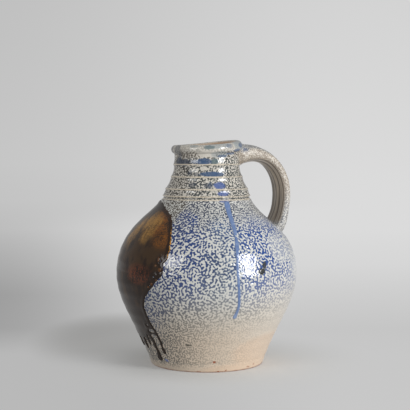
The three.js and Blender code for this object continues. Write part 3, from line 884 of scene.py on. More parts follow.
class BodyPaint(Paint):
    """Salt glaze: a mottle of blue and grey marks on a pale ground, with buff clay at the foot"""

    def __init__(self, colours, body):
        super().__init__("salt_glazed_body", "thrown_height")
        self.colours = colours
        self.body = body
        self.drift = self.noise(self.place, 0.055, 1) * 14
        self.cloud = self.noise(self.place, 0.13, 2)
        ahead = self.angle.math("ABSOLUTE").above(178, 150)
        self.side = {name: self.angle.above(*ends) * ahead for name, ends in SIDES.items()}
        self.band = {name: self.height.above(*ends) for name, ends in BANDS.items()}
        self.neck = self.band["neck"]
        self.wall = 1 - self.neck
        self.patch = self.spots(BLUE_PATCH, 0.8)
        self.grain = self.salt_grain()
        self.strength = self.mark_strength()

    def salt_grain(self):
        """The mottle, finer on the neck, high on the shoulder and near the foot"""
        right = self.side["right"]
        neck = self.neck * (0.65 + 0.35 * right)
        shoulder = self.band["fine_shoulder"] * self.wall * (0.75 + 0.25 * right)
        fineness = self.largest(neck, shoulder, self.band["fine_low"])
        coarse, fine = self.mottle(BELLY_PITCH), self.mottle(NECK_PITCH)
        return self.blend(fineness, coarse, fine) + self.cloud * 0.12

    def mark_strength(self):
        """How strong the marks are: weaker below, on the right, under the rim, in bare places and in a
        painted sheen
        """
        right, band = self.side["right"], self.band
        foot = self.by_angle(MOTTLE_FOOT, 200) + self.drift
        below = self.by_angle(MOTTLE_BELOW, 1) * band["over_foot"]
        strength = self.blend((self.height - foot).above(-28, 42), below, 1)
        under_rim = band["rim_hollow"] * (1 - right * band["rim_hollow_right"])
        for fading in (
            right * band["faint_right"] * self.wall * 0.12,
            under_rim * (0.12 + 0.5 * band["rim_edge"]),
            self.spots(BARE_PLACES) * 0.9,
            # Marks faded on the right of the belly as a painted sheen
            self.spots(PAINTED_SHEEN_PLACES) * 0.4,
        ):
            strength = strength * (1 - fading)
        return strength

    def blueness(self):
        """How blue the marks are: on the belly, further up on the right, and in the patch"""
        height, band = self.height, self.band
        top = self.by_angle(BLUE_TOP, 200) + self.drift
        blue = (height - top).above(10, -10) * (height + self.side["left"] * 22).above(42, 74)
        on_right = self.side["right"] * band["blue_right"] * band["blue_right_top"]
        beside_run = self.angle.near(8, 24) * band["beside_run"] * 0.6
        return self.largest(blue, on_right, self.patch) * self.wall * (1 - beside_run)

    def ground(self):
        """The pale glaze between the marks, with bare and flushed clay low down"""
        lowness = self.blend(self.side["buff"], self.band["buff_left"], self.band["buff_right"])
        return self.coats(
            self.mix(self.neck, self.colours.ground, self.colours.neck_ground),
            (lowness, self.colours.buff),
            (self.spots(FLUSH_PLACES) * 0.3, self.colours.peach),
        )

    def mark_colours(self):
        """Colours of the marks' edges and of their middles"""
        colours, side, band = self.colours, self.side, self.band
        shoulder = band["slate"] * self.wall
        brown = self.largest(
            side["brown"] * band["brown_margin"] * self.wall,
            self.neck * side["left"] * 0.6,
            band["brown_rim"] * band["brown_rim_top"],
        )
        blue = self.blueness()
        deep_blue = self.mix(side["navy"], colours.blue_deep, colours.navy_deep)
        shades = []
        for depth, deepest in (("thin", colours.blue_thin), ("deep", deep_blue)):
            grey, slate, clay = (
                getattr(colours, f"{name}_{depth}") for name in ("grey", "slate", "brown")
            )
            shades.append(self.coats(grey, (shoulder, slate), (brown, clay), (blue, deepest)))
        return shades

    def mottled(self):
        """The ground under its marks, with painted shade: greyer on the left, away from the key light"""
        cream_line = self.height.near(100.2, 1.1) * self.angle.near(-12, 30).above(0.1, 0.4)
        level = 0.04 + self.cloud * 0.1 + self.patch * 0.07
        level = level - cream_line * 0.25 - (1 - self.strength) * 0.05
        mark = (self.grain - level).above(0.13, -0.15) * self.strength
        bias = self.by_angle(MARK_DEPTH, 0.4) - 0.1
        deep = (self.grain - level - bias).above(0.02, -0.3 + self.patch * 0.1)
        # Painted shade: the wall greyed on the left and low down, away from the key light, and a little
        # from the front round to the left
        dim = self.side["left"] * self.band["dim"] * (0.5 + 0.5 * self.band["dim_foot"]) * 0.35
        dim = dim + self.side["dim"] * self.wall * 0.07
        marks = self.mix(deep, *self.mark_colours())
        return self.coats(self.ground(), (mark, marks), (dim, self.colours.grey_deep))

    def stains(self):
        """Pools, smears and spots as layers"""
        cover = (0.92 + self.cloud * 0.5 + self.grain * 0.25).math("MINIMUM", 1)
        return [
            (self.spots((place,)) * most * cover, getattr(self.colours, name))
            for *place, name, most in STAINS
        ]

    def edges(self):
        """Layers along the rings, the shoulder's top, the fine line, the sole with rust and painted contact
        shade, and the inside
        """
        colours, side, body = self.colours, self.side, self.body
        crests = [self.height.near(ring[0] / MM + 0.1, 0.85) for ring in ring_table(body)]
        lip = (body.belly_height + body.shoulder_rise) / MM
        foot_line = self.height.near(body.foot_line / MM, 0.55)
        # The foot's lower edge: rust, made strong enough to stand in for painted contact shade too
        sole_rust_and_shade = (self.height + self.cloud * 1.5).above(1.2, 0.2)
        return (
            (self.largest(*crests) * (0.9 - 0.35 * side["right"]), colours.crest),
            (self.height.near(lip + 0.7, 0.7) * 0.8, colours.crest),
            (self.height.near(lip + 1.8, 0.7) * side["groove"] * 0.8, colours.grey_deep),
            (foot_line * side["foot_line"] * 0.45, colours.grey_thin),
            (sole_rust_and_shade * 0.75, colours.spot_rust),
            (self.attribute("inside"), colours.inner_clay),
        )

    def made(self):
        """The finished material"""
        colour = self.coats(self.mottled(), *self.stains(), *self.edges())
        fine = self.noise(self.place, 1.6, 1)
        relief = self.grain * (0.05 + 0.05 * self.strength) + fine * 0.02
        glazed = self.largest(self.strength, self.neck, self.band["glossy"] * 0.7)
        return self.finish(colour, relief, roughness=self.blend(glazed, 0.4, 0.06), ior=1.58)


def handle_paint(colours):
    """Salt glaze on the strap: mottled back, buff sides and an inner face with painted shade in its lines,
    towards the foot and along its far edge
    """
    paint = Paint("salt_glazed_handle")
    across = paint.attribute("across")
    face = paint.attribute("face")
    along = paint.attribute("along") / MM
    cloud = paint.noise(paint.place, 0.13, 2)
    grain = paint.mottle(HANDLE_PITCH) + cloud * 0.15
    streak = paint.noise(paint.join(across * 9, face * 2, along / 42), 1, 2, 0.6)

    back = face.above(0.3, 0.8)
    inner = face.above(-0.4, -0.75) * paint.height.above(113, 118)
    mark = (grain - 0.03).above(0.13, -0.15)
    low = along.above(56, 88) * (1 - inner)
    root = along.above(34, 4) * (cloud + grain * 0.3).above(0.12, -0.15) * face.above(0.1, 0.5)
    stripes = ((across * 5 + streak * 0.8) * math.pi).math("COSINE").above(0.1, 0.95)
    # The inner face: darker streaks, and painted shade in its pulled lines, towards the foot and along its
    # far edge
    inner_colour = paint.coats(
        colours.handle_inner,
        (stripes * 0.75, colours.handle_line),
        (streak.above(0.1, -0.2) * 0.5, colours.handle_line),
        (along.above(50, 100) * 0.2, colours.handle_line),
        (across.above(0.3, 0.9) * 0.8, colours.handle_line),
    )
    colour = paint.coats(
        paint.mix(back, colours.handle_buff, colours.handle_grey),
        (streak.above(0, -0.2) * (1 - back) * 0.35, colours.handle_dark),
        (mark * (0.6 + 0.2 * back), colours.handle_dark),
        ((grain + 0.06).above(0.02, 0.3) * (1 - inner) * 0.6, colours.ground),
        (low * 0.65, colours.ground),
        (mark * low * 0.7, colours.slate_deep),
        (root * 0.75, colours.pool_blue),
        (inner * along.above(2, 22), inner_colour),
    )
    relief = grain * 0.12 * (1 - inner) + streak * 0.1 * inner
    return paint.finish(colour, relief, roughness=0.3, ior=1.5)


def iron_paint(colours):
    """Thick iron glaze: near black, with gold, orange and rust where it flowed thin"""
    paint = Paint("iron_glaze")
    edge = paint.attribute("edge") / MM
    stream = paint.join(paint.angle * 0.16, paint.height * 0.025, 0)
    flow = paint.noise(stream, 1, 1)
    fine_flow = paint.noise(stream, 2.6, 1)
    cloud = paint.noise(paint.place, 0.12, 2)
    speckle = paint.mottle(IRON_PITCH)

    warm = paint.height.near(106, 34).above(0, 0.6)
    brown = (flow + cloud + fine_flow * 0.5 + warm * 0.35).above(0, 0.4)
    orange = paint.spots(ORANGE_PLACES, 1) * (flow + cloud + speckle * 0.7).above(-0.6, 0.5)
    gold = paint.spots(GOLD_PLACES, 1) * (flow + fine_flow * 0.5 + cloud + speckle * 0.3).above(-0.6, 0.5)
    rust = paint.spots(RUST_PLACES, 1.1) * (cloud + fine_flow + speckle * 0.6).above(-0.4, 0.4)
    # Amber along the thin edge: partly the glaze's own colour, partly a painted highlight kept to one band
    # of height
    thin = edge.above(0.9, 0.3) * paint.height.near(103, 14).above(0, 0.4) * (speckle + 0.35).above(0, 0.6)
    blisters = paint.dots(IRON_BLISTERS)
    colour = paint.coats(
        colours.iron_black,
        (brown * 0.85, colours.iron_brown),
        (orange, colours.iron_orange),
        (gold, colours.iron_gold),
        (rust, colours.iron_rust),
        ((edge + speckle * 0.8).above(4.6, 2.2) * 0.9, colours.iron_black),
        (thin * 0.9, colours.iron_edge),
        (blisters * 0.5, colours.iron_orange),
    )
    relief = flow * 0.06 + cloud * 0.1 + speckle * rust * 0.12 + blisters * 0.5
    return paint.finish(colour, relief, roughness=0.17, ior=1.37)


def cobalt_paint(colours):
    """Cobalt glaze run: mid blue, paler where it is thin"""
    paint = Paint("cobalt_glaze")
    edge = paint.attribute("edge") / MM
    cloud = paint.noise(paint.place, 0.3, 2, 0.6)
    low = paint.height.above(56, 46)
    pale = paint.largest(cloud.above(0.02, 0.25) * 0.6, low * 0.5, edge.above(0.3, 0.05) * 0.5)
    deep = cloud.above(-0.02, -0.25) * (1 - low)
    colour = paint.coats(colours.cobalt, (pale, colours.cobalt_thin), (deep * 0.45, colours.blue_deep))
    relief = paint.noise(paint.place, 0.4, 1) * 0.1
    return paint.finish(colour, relief, roughness=0.1, ior=1.58)


def add_object(name, data):
    """An object at the origin"""
    piece = bpy.data.objects.new(name, data)
    bpy.context.scene.collection.objects.link(piece)
    return piece


def new_piece(name, vertices, faces, edges=(), **attributes):
    """A mesh object, with a value for each vertex under each attribute's name"""
    mesh = bpy.data.meshes.new(name)
    mesh.from_pydata([tuple(vertex) for vertex in vertices], edges, faces)
    for key, values in attributes.items():
        mesh.attributes.new(key, "FLOAT", "POINT").data.foreach_set("value", np.ravel(values))
    return add_object(name, mesh)


def dress(piece, node):
    """Ties a finished piece to the frame"""
    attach(piece, BODY)
    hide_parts(node)


def turning_tree(wheel_radius):
    """Turns a profile round the jug's axis and then shapes it by hand"""
    tree = Shaper("turned on the wheel")
    profile = tree.add("GeometryNodeMeshToCurve", None, {0: tree.geometry})
    steps = tree.size("Turn Steps", "NodeSocketInt")
    sockets = {"Resolution": steps, "Radius": wheel_radius}
    circle = tree.add("GeometryNodeCurvePrimitiveCircle", None, sockets)
    sockets = {"Curve": circle, "Profile Curve": profile}
    turned = tree.add("GeometryNodeCurveToMesh", None, sockets)
    outward = tree.add("GeometryNodeFlipFaces", None, {0: turned})
    joined = tree.add("GeometryNodeMergeByDistance", None, {0: outward, "Distance": 1e-6})
    tree.finish(tree.hand_shaping(joined))
    return tree


class JUG_OT_throw_body(Operator):
    """Throws the body: foot, belly, shoulder, ringed neck and rolled rim in one wall"""

    bl_idname = "jug.throw_body"
    bl_label = "Throw the body"

    wheel_radius = 10 * MM
    # Rows of the inside, counted from the rim's crest, over which the clay's colour takes over
    inner_starts = (1, 5)

    def execute(self, context):
        body = context.scene.jug_body
        outside = np.vstack([belly_outside(body), neck_outside(body)])
        radii = outside[0, 0] * np.linspace(0, 1, UNDERSIDE_ROWS, endpoint=False)
        underside = np.stack([radii, np.zeros(UNDERSIDE_ROWS)], 1)
        inner = inside_profile(body)
        profile = np.vstack([underside, outside, inner])
        is_inner = np.zeros(len(profile))
        is_inner[-len(inner) :] = between(np.arange(len(inner)), *self.inner_starts)
        points = [(radius - self.wheel_radius, -height, 0) for radius, height in profile]
        edges = [(i, i + 1) for i in range(len(points) - 1)]
        piece = new_piece(
            "thrown_body_dressed", points, [], edges, thrown_height=profile[:, 1], inside=is_inner
        )
        paint = BodyPaint(context.scene.jug_colours, body).made()
        values = {"Turn Steps": TURN_STEPS, "Material": paint, **hand_sizes(body)}
        turning_tree(self.wheel_radius).made(piece, values)
        dress(piece, "thrown_body")
        return {"FINISHED"}


def wall_radius(body, point):
    """Radius of the shaped outside wall at a point's height and angle

    The lift depends on the height before it, which is found in a few rounds.
    """
    outside = np.vstack([belly_outside(body), neck_outside(body)])
    x, y, z = point.T
    angle = np.arctan2(y, x)
    side = (1 + np.cos(angle)) / 2
    top = rim_middle(body)[1] + body.rim_roll_radius
    thrown = z.copy()
    rounds = 6
    for _ in range(rounds):
        near = np.clip((thrown - top) / body.rim_lift_reach + 1, 0, 1)
        thrown = z - body.rim_lift * (near * side) ** 2
    across = np.exp(-((angle / body.press_spread) ** 2))
    upright = np.exp(-(((thrown - body.press_height) / body.press_reach) ** 2))
    return np.interp(thrown, outside[:, 1], outside[:, 0]) - body.press_depth * across * upright


def handle_line(handle, body):
    """Middle line of the strap as (radius, height), in even steps, and the line's length"""
    root_height = rim_middle(body)[1] - handle.root_drop
    foot_height = body.belly_height + handle.foot_rise
    outside = np.vstack([belly_outside(body), neck_outside(body)])
    root_radius, foot_radius = np.interp([root_height, foot_height], outside[:, 1], outside[:, 0])
    root = (root_radius - handle.root_buried, root_height)
    foot = (foot_radius - handle.foot_buried, foot_height)
    bow = (
        body.lower_ring_radius + handle.finger_room + handle.strap_thickness / 2,
        body.belly_height + body.shoulder_rise + handle.widest_rise,
    )
    from_root = (handle.root_run_out, handle.root_run_up)
    to_foot = (handle.foot_run_out, handle.foot_run_up)
    upper = arch(root, from_root, (0, handle.bow_run_up), bow)
    lower = arch(bow, (0, -handle.bow_run_down), to_foot, foot)
    rows = np.linspace(0, 1, HANDLE_CURVE_STEPS)
    line = np.vstack([bezier(upper, rows), bezier(lower, even(HANDLE_CURVE_STEPS))])
    arc = arc_lengths(line)
    places = np.linspace(0, arc[-1], HANDLE_STEPS + 1)
    return np.stack([np.interp(places, arc, part) for part in line.T], 1), places


def strap_sections(handle, places):
    """Width and thickness of the strap at each place along it"""
    end = places[-1]
    root = 1 - between(places, 0, handle.root_flare)
    foot = between(places, end - handle.foot_flare, end)
    into = np.clip((places - end) / handle.foot_rounding + 1, 0, 1)
    tongue = np.sqrt(1 - (into * handle.foot_narrowing) ** 2)
    sizes = []
    for strap, at_root, at_foot in (
        (handle.strap_width, handle.root_width, handle.foot_width),
        (handle.strap_thickness, handle.root_thickness, handle.foot_thickness),
    ):
        sizes.append(strap + (at_root - strap) * root + (at_foot - strap) * foot)
    return sizes[0] * tongue, sizes[1]


def strap_faces(rings):
    """Faces of a closed tube of rings, with a fan at each end round one more vertex"""
    first = np.arange(rings * HANDLE_SIDES).reshape(rings, HANDLE_SIDES)
    after = np.roll(first, -1, axis=1)
    sides = np.stack([first[:-1], first[1:], after[1:], after[:-1]], -1).reshape(-1, 4).tolist()
    middle = rings * HANDLE_SIDES
    start = [(a, b, middle) for a, b in zip(first[0], after[0])]
    end = [(b, a, middle + 1) for a, b in zip(first[-1], after[-1])]
    return [*sides, *start, *end]


class JUG_OT_pull_handle(Operator):
    """Pulls the handle: a strap with finger grooves, spread where it was pressed on"""

    bl_idname = "jug.pull_handle"
    bl_label = "Pull the handle"

    # How quickly the uneven lines change along the strap, across it and from face to face
    grain = (28, 1.7, 2)
    # How far the pulled faces wander
    wander = 0.35 * MM

    def execute(self, context):
        handle = context.scene.jug_handle
        body = context.scene.jug_body
        line, places = handle_line(handle, body)
        turns = np.linspace(0, 2 * math.pi, HANDLE_SIDES, endpoint=False)
        power = 2 / handle.squareness
        across, face = (
            np.sign(side) * np.abs(side) ** power for side in (np.cos(turns), np.sin(turns))
        )
        points = self.pulled(handle, line, places, across, face)
        middle = np.stack([line[:, 0], 0 * places, line[:, 1]], -1)[:, None]
        flat = self.pressed_on(handle, body, points, middle, places)

        count = len(places)
        columns = {
            "across": np.tile(across, count),
            "face": np.tile(face, count),
            "along": np.repeat(places, HANDLE_SIDES),
        }
        columns = {key: np.append(values, [0, 0]) for key, values in columns.items()}
        ends = [flat[:HANDLE_SIDES].mean(0), flat[-HANDLE_SIDES:].mean(0)]
        name = "pulled_handle_dressed"
        piece = new_piece(name, np.vstack([flat, ends]), strap_faces(count), **columns)
        turn_outwards(piece.data)
        piece.data.materials.append(handle_paint(context.scene.jug_colours))
        piece.data.polygons.foreach_set("use_smooth", [True] * len(piece.data.polygons))
        dress(piece, "pulled_handle")
        return {"FINISHED"}

    def pulled(self, handle, line, places, across, face):
        """Rings of points along the line, with finger grooves and uneven pulled lines"""
        width, thickness = strap_sections(handle, places)
        tangent = np.gradient(line, axis=0)
        tangent /= np.hypot(*tangent.T)[:, None]
        ribs, lines = (
            (1 + np.cos(math.pi * (across * number + number - 1))) / 2
            for number in (handle.grooves, handle.lines)
        )
        pull = np.array([
            [noise.noise(Vector(np.multiply((place, *side), self.grain))) for side in zip(across, face)]
            for place in places
        ])
        hollow = np.abs(face) * (handle.groove_depth * ribs + handle.line_depth * lines * (1 + pull))
        outwards = face * (thickness[:, None] / 2 - hollow + self.wander * pull)
        x = line[:, :1] - outwards * tangent[:, 1:]
        z = line[:, 1:] + outwards * tangent[:, :1]
        return np.stack([x, across * width[:, None] / 2, z], -1)

    def pressed_on(self, handle, body, points, middle, places):
        """The points with the clay spread near the wall and both ends sunk into it, as a flat list"""
        spread = points - middle
        spread /= np.linalg.norm(spread, axis=-1, keepdims=True)
        flat = points.reshape(-1, 3)
        clear = (np.hypot(flat[:, 0], flat[:, 1]) - wall_radius(body, flat)).reshape(len(places), -1)
        near = np.clip(1 - clear / handle.fillet_reach, 0, 1) ** 2
        points += spread * (near * handle.fillet)[..., None]
        radius = np.hypot(flat[:, 0], flat[:, 1])
        sunk = wall_radius(body, flat) - handle.sunk
        from_end = np.minimum(places, places[-1] - places)
        pulled = np.repeat(between(from_end, handle.end_reach, 0), HANDLE_SIDES)
        flat[:, :2] *= (np.maximum(radius + (sunk - radius) * pulled, sunk) / radius)[:, None]
        return flat


def turn_outwards(mesh):
    """Points a closed mesh's faces outwards"""
    solid = bmesh.new()
    solid.from_mesh(mesh)
    bmesh.ops.recalc_face_normals(solid, faces=solid.faces)
    solid.to_mesh(mesh)
    solid.free()


class Wall:
    """The outside of the belly as it is turned, measured along its arc from the foot"""

    def __init__(self, body):
        self.points = belly_outside(body)
        self.arc = arc_lengths(self.points)
        self.slope = np.gradient(self.points, self.arc, axis=0)
        self.top = body.belly_height + body.shoulder_rise

    def at(self, arc, values):
        return np.interp(arc, self.arc, values)

    def radius(self, arc):
        return self.at(arc, self.points[:, 0])

    def arc_at(self, height):
        return np.interp(height, self.points[:, 1], self.arc)

    def place(self, angle, share):
        """Angle in radians and arc of a place given in degrees and hundredths of the height"""
        return math.radians(angle), self.arc_at(self.top * share / 100)

    def coat(self, angle, arc, thickness):
        """Points that stand over the wall by a thickness"""
        radius = self.radius(arc) + self.at(arc, self.slope[:, 1]) * thickness
        height = self.at(arc, self.points[:, 1]) - self.at(arc, self.slope[:, 0]) * thickness
        return np.stack([radius * np.cos(angle), radius * np.sin(angle), height], -1)


class Patch:
    """Places on the wall where the depth inside a glaze's edge is worked out"""

    def __init__(self, wall, angle, arc):
        self.wall = wall
        self.angle = angle
        self.arc = arc
        self.radius = wall.radius(arc)

    def offsets(self, angle, arc):
        return (angle - self.angle) * self.radius, arc - self.arc

    def outline(self, points):
        """Depth inside a closed outline, negative outside it"""
        nearest = np.full(self.angle.shape, np.inf)
        inside = np.zeros(self.angle.shape, bool)
        for first, second in zip(points, np.roll(points, -1, axis=0)):
            (x0, y0), (x1, y1) = self.offsets(*first), self.offsets(*second)
            nearest = np.minimum(nearest, segment(x0, y0, x1, y1)[0])
            crosses = (y0 > 0) != (y1 > 0)
            level = np.where(crosses, y1 - y0, 1)
            inside ^= crosses & (x0 - y0 * (x1 - x0) / level > 0)
        return np.where(inside, nearest, -nearest)

    def run(self, points):
        """Depth inside a run, given as (angle, arc, half width) points"""
        depth = np.full(self.angle.shape, -np.inf)
        for (a0, l0, w0), (a1, l1, w1) in zip(points, points[1:]):
            distance, share = segment(*self.offsets(a0, l0), *self.offsets(a1, l1))
            depth = np.maximum(depth, w0 + (w1 - w0) * share - distance)
        return depth

    def pits(self, depth, places):
        """Depth with round places left bare, given as degrees, height and radius in millimetres"""
        for angle, height, radius in places:
            arc = self.wall.arc_at(height * MM)
            away = np.hypot(*self.offsets(math.radians(angle), arc))
            depth = np.minimum(depth, away - radius * MM)
        return depth

    def wander(self, reach, grain):
        """Soft noise over the wall"""
        places = self.wall.coat(self.angle, self.arc, 0) / grain
        flat = [noise.noise(Vector(place)) for place in places.reshape(-1, 3)]
        return reach * np.reshape(flat, self.angle.shape)


def segment(x0, y0, x1, y1):
    """Distance from the origin to a straight piece, and where along it the nearest point is"""
    dx, dy = x1 - x0, y1 - y0
    share = np.clip(-(x0 * dx + y0 * dy) / np.maximum(dx * dx + dy * dy, 1e-18), 0, 1)
    return np.hypot(x0 + share * dx, y0 + share * dy), share


def flow_together(first, second, fillet):
    """The larger of two depths, with a fillet where glaze runs together"""
    share = np.clip(0.5 + 0.5 * (first - second) / fillet, 0, 1)
    return second + (first - second) * share + fillet * share * (1 - share)


def run_line(wall, run):
    """A run's points with a smooth line through them"""
    points = [(*wall.place(angle, height), half * MM) for angle, height, half in run]
    return smooth_line(points, 4)


# Depths at which a glaze mesh has a loop along its edge, in millimetres
EDGE_LOOPS = (0.1, 0.25, 0.5)
# Corners of a glaze mesh closer than this share of their spacing are merged
MERGED = 0.06
# Width of a coat's rolled edge, as a share of its thickness
ROLL_WIDTH = 1.3
# Heights at which glaze starts to gather towards the foot and at which it has gathered in full
GATHERING = (60 * MM, 15 * MM)
# How much a coat's thickness varies, as a share, and over what length
UNEVENNESS = (0.12, 9 * MM)


def wet_grid(across, up, depth):
    """A flat grid with the depth as its third coordinate, with faces only where a corner is wet"""
    flat = bmesh.new()
    corners = [flat.verts.new(corner) for corner in zip(across.ravel(), up.ravel(), depth.ravel())]
    columns = depth.shape[1]
    wet = depth > 0
    wet = wet[:-1, :-1] | wet[1:, :-1] | wet[:-1, 1:] | wet[1:, 1:]
    for row, column in zip(*np.nonzero(wet)):
        a = row * columns + column
        b = a + columns
        flat.faces.new([corners[i] for i in (a, a + 1, b + 1, b)])
    loose = [corner for corner in flat.verts if not corner.link_faces]
    bmesh.ops.delete(flat, geom=loose, context="VERTS")
    return flat


def cut_edge(flat):
    """Cuts a grid off where its depth is zero, and cuts loops along that edge"""
    for level in (0, *EDGE_LOOPS):
        bmesh.ops.bisect_plane(
            flat,
            geom=[*flat.verts, *flat.edges, *flat.faces],
            dist=1e-7,
            plane_co=(0, 0, level * MM),
            plane_no=(0, 0, 1),
            clear_inner=level == 0,
        )


def skin_mesh(wall, depth_at, angles, arcs, spacing):
    """Corners as (angle, arc, depth), faces and open edges of the area where the depth is above 0"""
    scale = wall.points[:, 0].max()
    columns = np.arange(angles[0], angles[1], spacing / scale)
    rows = np.arange(arcs[0], arcs[1], spacing)
    angle, arc = np.meshgrid(columns, rows)
    flat = wet_grid(angle * scale, arc, depth_at(Patch(wall, angle, arc)))
    cut_edge(flat)
    bmesh.ops.remove_doubles(flat, verts=flat.verts, dist=spacing * MERGED)
    bmesh.ops.dissolve_degenerate(flat, dist=1e-6, edges=flat.edges)
    flat.verts.index_update()
    places = np.array([corner.co for corner in flat.verts]) / (scale, 1, 1)
    faces = [[corner.index for corner in face.verts] for face in flat.faces]
    loops = [edge.link_loops[0] for edge in flat.edges if edge.is_boundary]
    rim = [(loop.vert.index, loop.link_loop_next.vert.index) for loop in loops]
    flat.free()
    return places, faces, rim


def lay_coat(context, node, paint, wall, depth_at, ends, gather=0):
    """Lays a closed coat of glaze on the wall, with rolled edges and a bead along them"""
    body = context.scene.jug_body
    sizes = context.scene.jug_glazes
    glaze = node.split("_")[0]
    thickness, bead = (getattr(sizes, f"{glaze}_{size}") for size in ("thickness", "bead"))
    places, faces, rim = skin_mesh(wall, depth_at, *ends, sizes.spacing)
    angle, arc, depth = places.T
    rolled = np.sqrt(1 - (1 - np.clip(depth / (ROLL_WIDTH * thickness), 0, 1)) ** 2)
    beaded = bead * np.exp(-(((depth - sizes.bead_inset) / sizes.bead_inset) ** 2))
    height = wall.at(arc, wall.points[:, 1])
    gathered = 1 + gather * between(height, *GATHERING)
    uneven = Patch(wall, angle, arc).wander(*UNEVENNESS)
    proud = rolled * (thickness + beaded) * gathered * (1 + uneven)
    over = wall.coat(angle, arc, proud)
    under = wall.coat(angle, arc, np.full(len(arc), -sizes.bed))
    count = len(over)
    sides = [(b, a, a + count, b + count) for a, b in rim]
    bottom = [[corner + count for corner in reversed(face)] for face in faces]
    edge = np.tile(np.maximum(depth, 0), 2)
    name = f"{node}_dressed"
    piece = new_piece(name, np.vstack([over, under]), [*faces, *bottom, *sides], edge=edge)
    tree = Shaper("moved with the wall")
    tree.finish(tree.hand_shaping(tree.geometry))
    tree.made(piece, {"Material": paint(context.scene.jug_colours), **hand_sizes(body)})
    dress(piece, node)


class JUG_OT_pour_iron(Operator):
    """Pours the iron glaze over one side of the jug and lets it run"""

    bl_idname = "jug.pour_iron"
    bl_label = "Pour the iron glaze"

    # Room round the glaze in which its edge is looked for: round the jug, and up and down
    margins = (math.radians(3), 2 * MM)
    # Extra glaze near the foot, as a share
    gather = 0.15

    def execute(self, context):
        sizes = context.scene.jug_glazes
        wall = Wall(context.scene.jug_body)
        edge = [wall.place(IRON_CENTRE + angle, height) for angle, height in IRON_EDGE]
        edge = smooth_line(edge, 5, closed=True)
        runs = [run_line(wall, run) for run in IRON_RUNS]

        def depth_at(patch):
            depth = patch.outline(edge)
            for run in runs:
                depth = flow_together(depth, patch.run(run), sizes.fillet)
            depth = depth + patch.wander(sizes.iron_raggedness, sizes.grain)
            return patch.pits(depth, IRON_PITS)

        beside, beyond = self.margins
        angles = edge[:, 0].min() - beside, edge[:, 0].max() + beside
        arcs = wall.arc_at(beyond), edge[:, 1].max() + beyond
        ends = (angles, arcs)
        lay_coat(context, "iron_glaze_pour", iron_paint, wall, depth_at, ends, self.gather)
        return {"FINISHED"}


class JUG_OT_trail_cobalt(Operator):
    """Lets a run of cobalt glaze down the front"""

    bl_idname = "jug.trail_cobalt"
    bl_label = "Trail the cobalt glaze"

    # Room round the run in which its edge is looked for: round the jug, and below
    margins = (math.radians(6), 5 * MM)

    def execute(self, context):
        sizes = context.scene.jug_glazes
        wall = Wall(context.scene.jug_body)
        run = run_line(wall, COBALT_RUN)

        def depth_at(patch):
            depth = patch.run(run) + patch.wander(sizes.cobalt_raggedness, sizes.grain)
            return patch.pits(depth, COBALT_PITS)

        beside, below = self.margins
        angles = run[:, 0].min() - beside, run[:, 0].max() + beside
        arcs = run[:, 1].min() - below, wall.arc[-1]
        lay_coat(context, "cobalt_glaze_run", cobalt_paint, wall, depth_at, (angles, arcs))
        return {"FINISHED"}


# Softboxes: degrees to the right of the camera, degrees up, and the spread across and up
KEY_SOFTBOX = (53, 16.5, 19, 31)
FILL_SOFTBOX = (-46, 20, 24, 20)

# Backdrop by distance behind the jug in metres, at the left and at the right of the picture
# Painted shading: darker on the left, with a painted shadow there, darkest from 0.16 to 0.4 behind
BACKDROP = (
    (-0.2, 186, 200),
    (0.03, 184, 199),
    (0.16, 161, 197),
    (0.4, 157, 205),
    (0.73, 171, 214),
    (1.4, 188, 219),
    (2.6, 194, 219),
    (9, 197, 218),
)
# Where it turns from the left tones to the right ones, as slopes sideways from the camera: in
# front of the jug, behind it and far off, and then the same for the room beyond the floor
BACKDROP_SPANS = ((-0.1, -0.21, -0.24), (0.14, -0.015, 0.15))
ROOM_SPAN = (-0.24, 0.15)
# The jug's painted cast shadow in metres: its middle and reach, first sideways and then behind the jug
CAST_SHADOW = ((-0.085, 0.085), (0.11, 0.17))


def facing(turned, raised):
    """Direction from the jug, in degrees to the right of the camera and up"""
    towards = math.radians(FRONT + turned)
    up = math.radians(raised)
    return Vector((math.cos(towards) * math.cos(up), math.sin(towards) * math.cos(up), math.sin(up)))


def floor_paint(stage):
    """Pale floor: lit near the jug with its real shadow, then a glowing backdrop with painted shading and
    shadows
    """
    paint = Paint("floor")
    behind, sideways = paint.towards * -MM, paint.sideways * MM
    across = sideways / (behind + stage.camera_distance).math("MAXIMUM", 0.3)
    far = behind.above(1.2, 2.6)
    before = behind.above(0.06, -0.04)
    ends = [
        paint.blend(before, paint.blend(far, behind_end, far_end), front_end)
        for front_end, behind_end, far_end in BACKDROP_SPANS
    ]
    start, reach = BACKDROP[0][0], BACKDROP[-1][0] - BACKDROP[0][0]
    place = ((behind - start) / reach).math("MAXIMUM", 0).math("SQRT")
    ramps = []
    for column in (1, 2):
        stops = []
        for row in BACKDROP:
            grey = linear(row[column])
            stops.append((((row[0] - start) / reach) ** 0.5, (grey, grey, grey, 1)))
        ramps.append(paint.add("ShaderNodeValToRGB", {"stops": stops}, {0: place}))
    backdrop = paint.mix(across.above(*ends), *ramps)
    radius = (behind * behind + sideways * sideways).math("SQRT")
    beside, beyond = (
        (place - middle) / reach for place, (middle, reach) in zip((sideways, behind), CAST_SHADOW)
    )
    # Painted cast shadow of the jug, behind it and to the left
    painted_cast_shadow = (1 - beside * beside - beyond * beyond).above(0, 1) * behind.above(-0.03, 0.05) * 0.5
    # Painted contact shadow round the foot on its left, in both the lit floor and the glowing backdrop
    painted_contact_shadow = radius.above(0.1, 0.05) * sideways.above(0.06, -0.02) * 0.14
    backdrop = paint.coats(backdrop, (painted_contact_shadow, stage.shadow_tone), (painted_cast_shadow, stage.shadow_tone))
    glow = paint.add("ShaderNodeEmission", None, {"Color": backdrop})
    near_tone = paint.mix(painted_contact_shadow, stage.floor_tone, stage.shadow_tone)
    lit = paint.add("ShaderNodeBsdfDiffuse", None, {"Color": near_tone})
    away = 0.25 + 0.75 * radius.above(0.04, 0.15)
    paint.add_output(paint.add("ShaderNodeMixShader", None, {0: away, 1: lit, 2: glow}))
    return paint.material


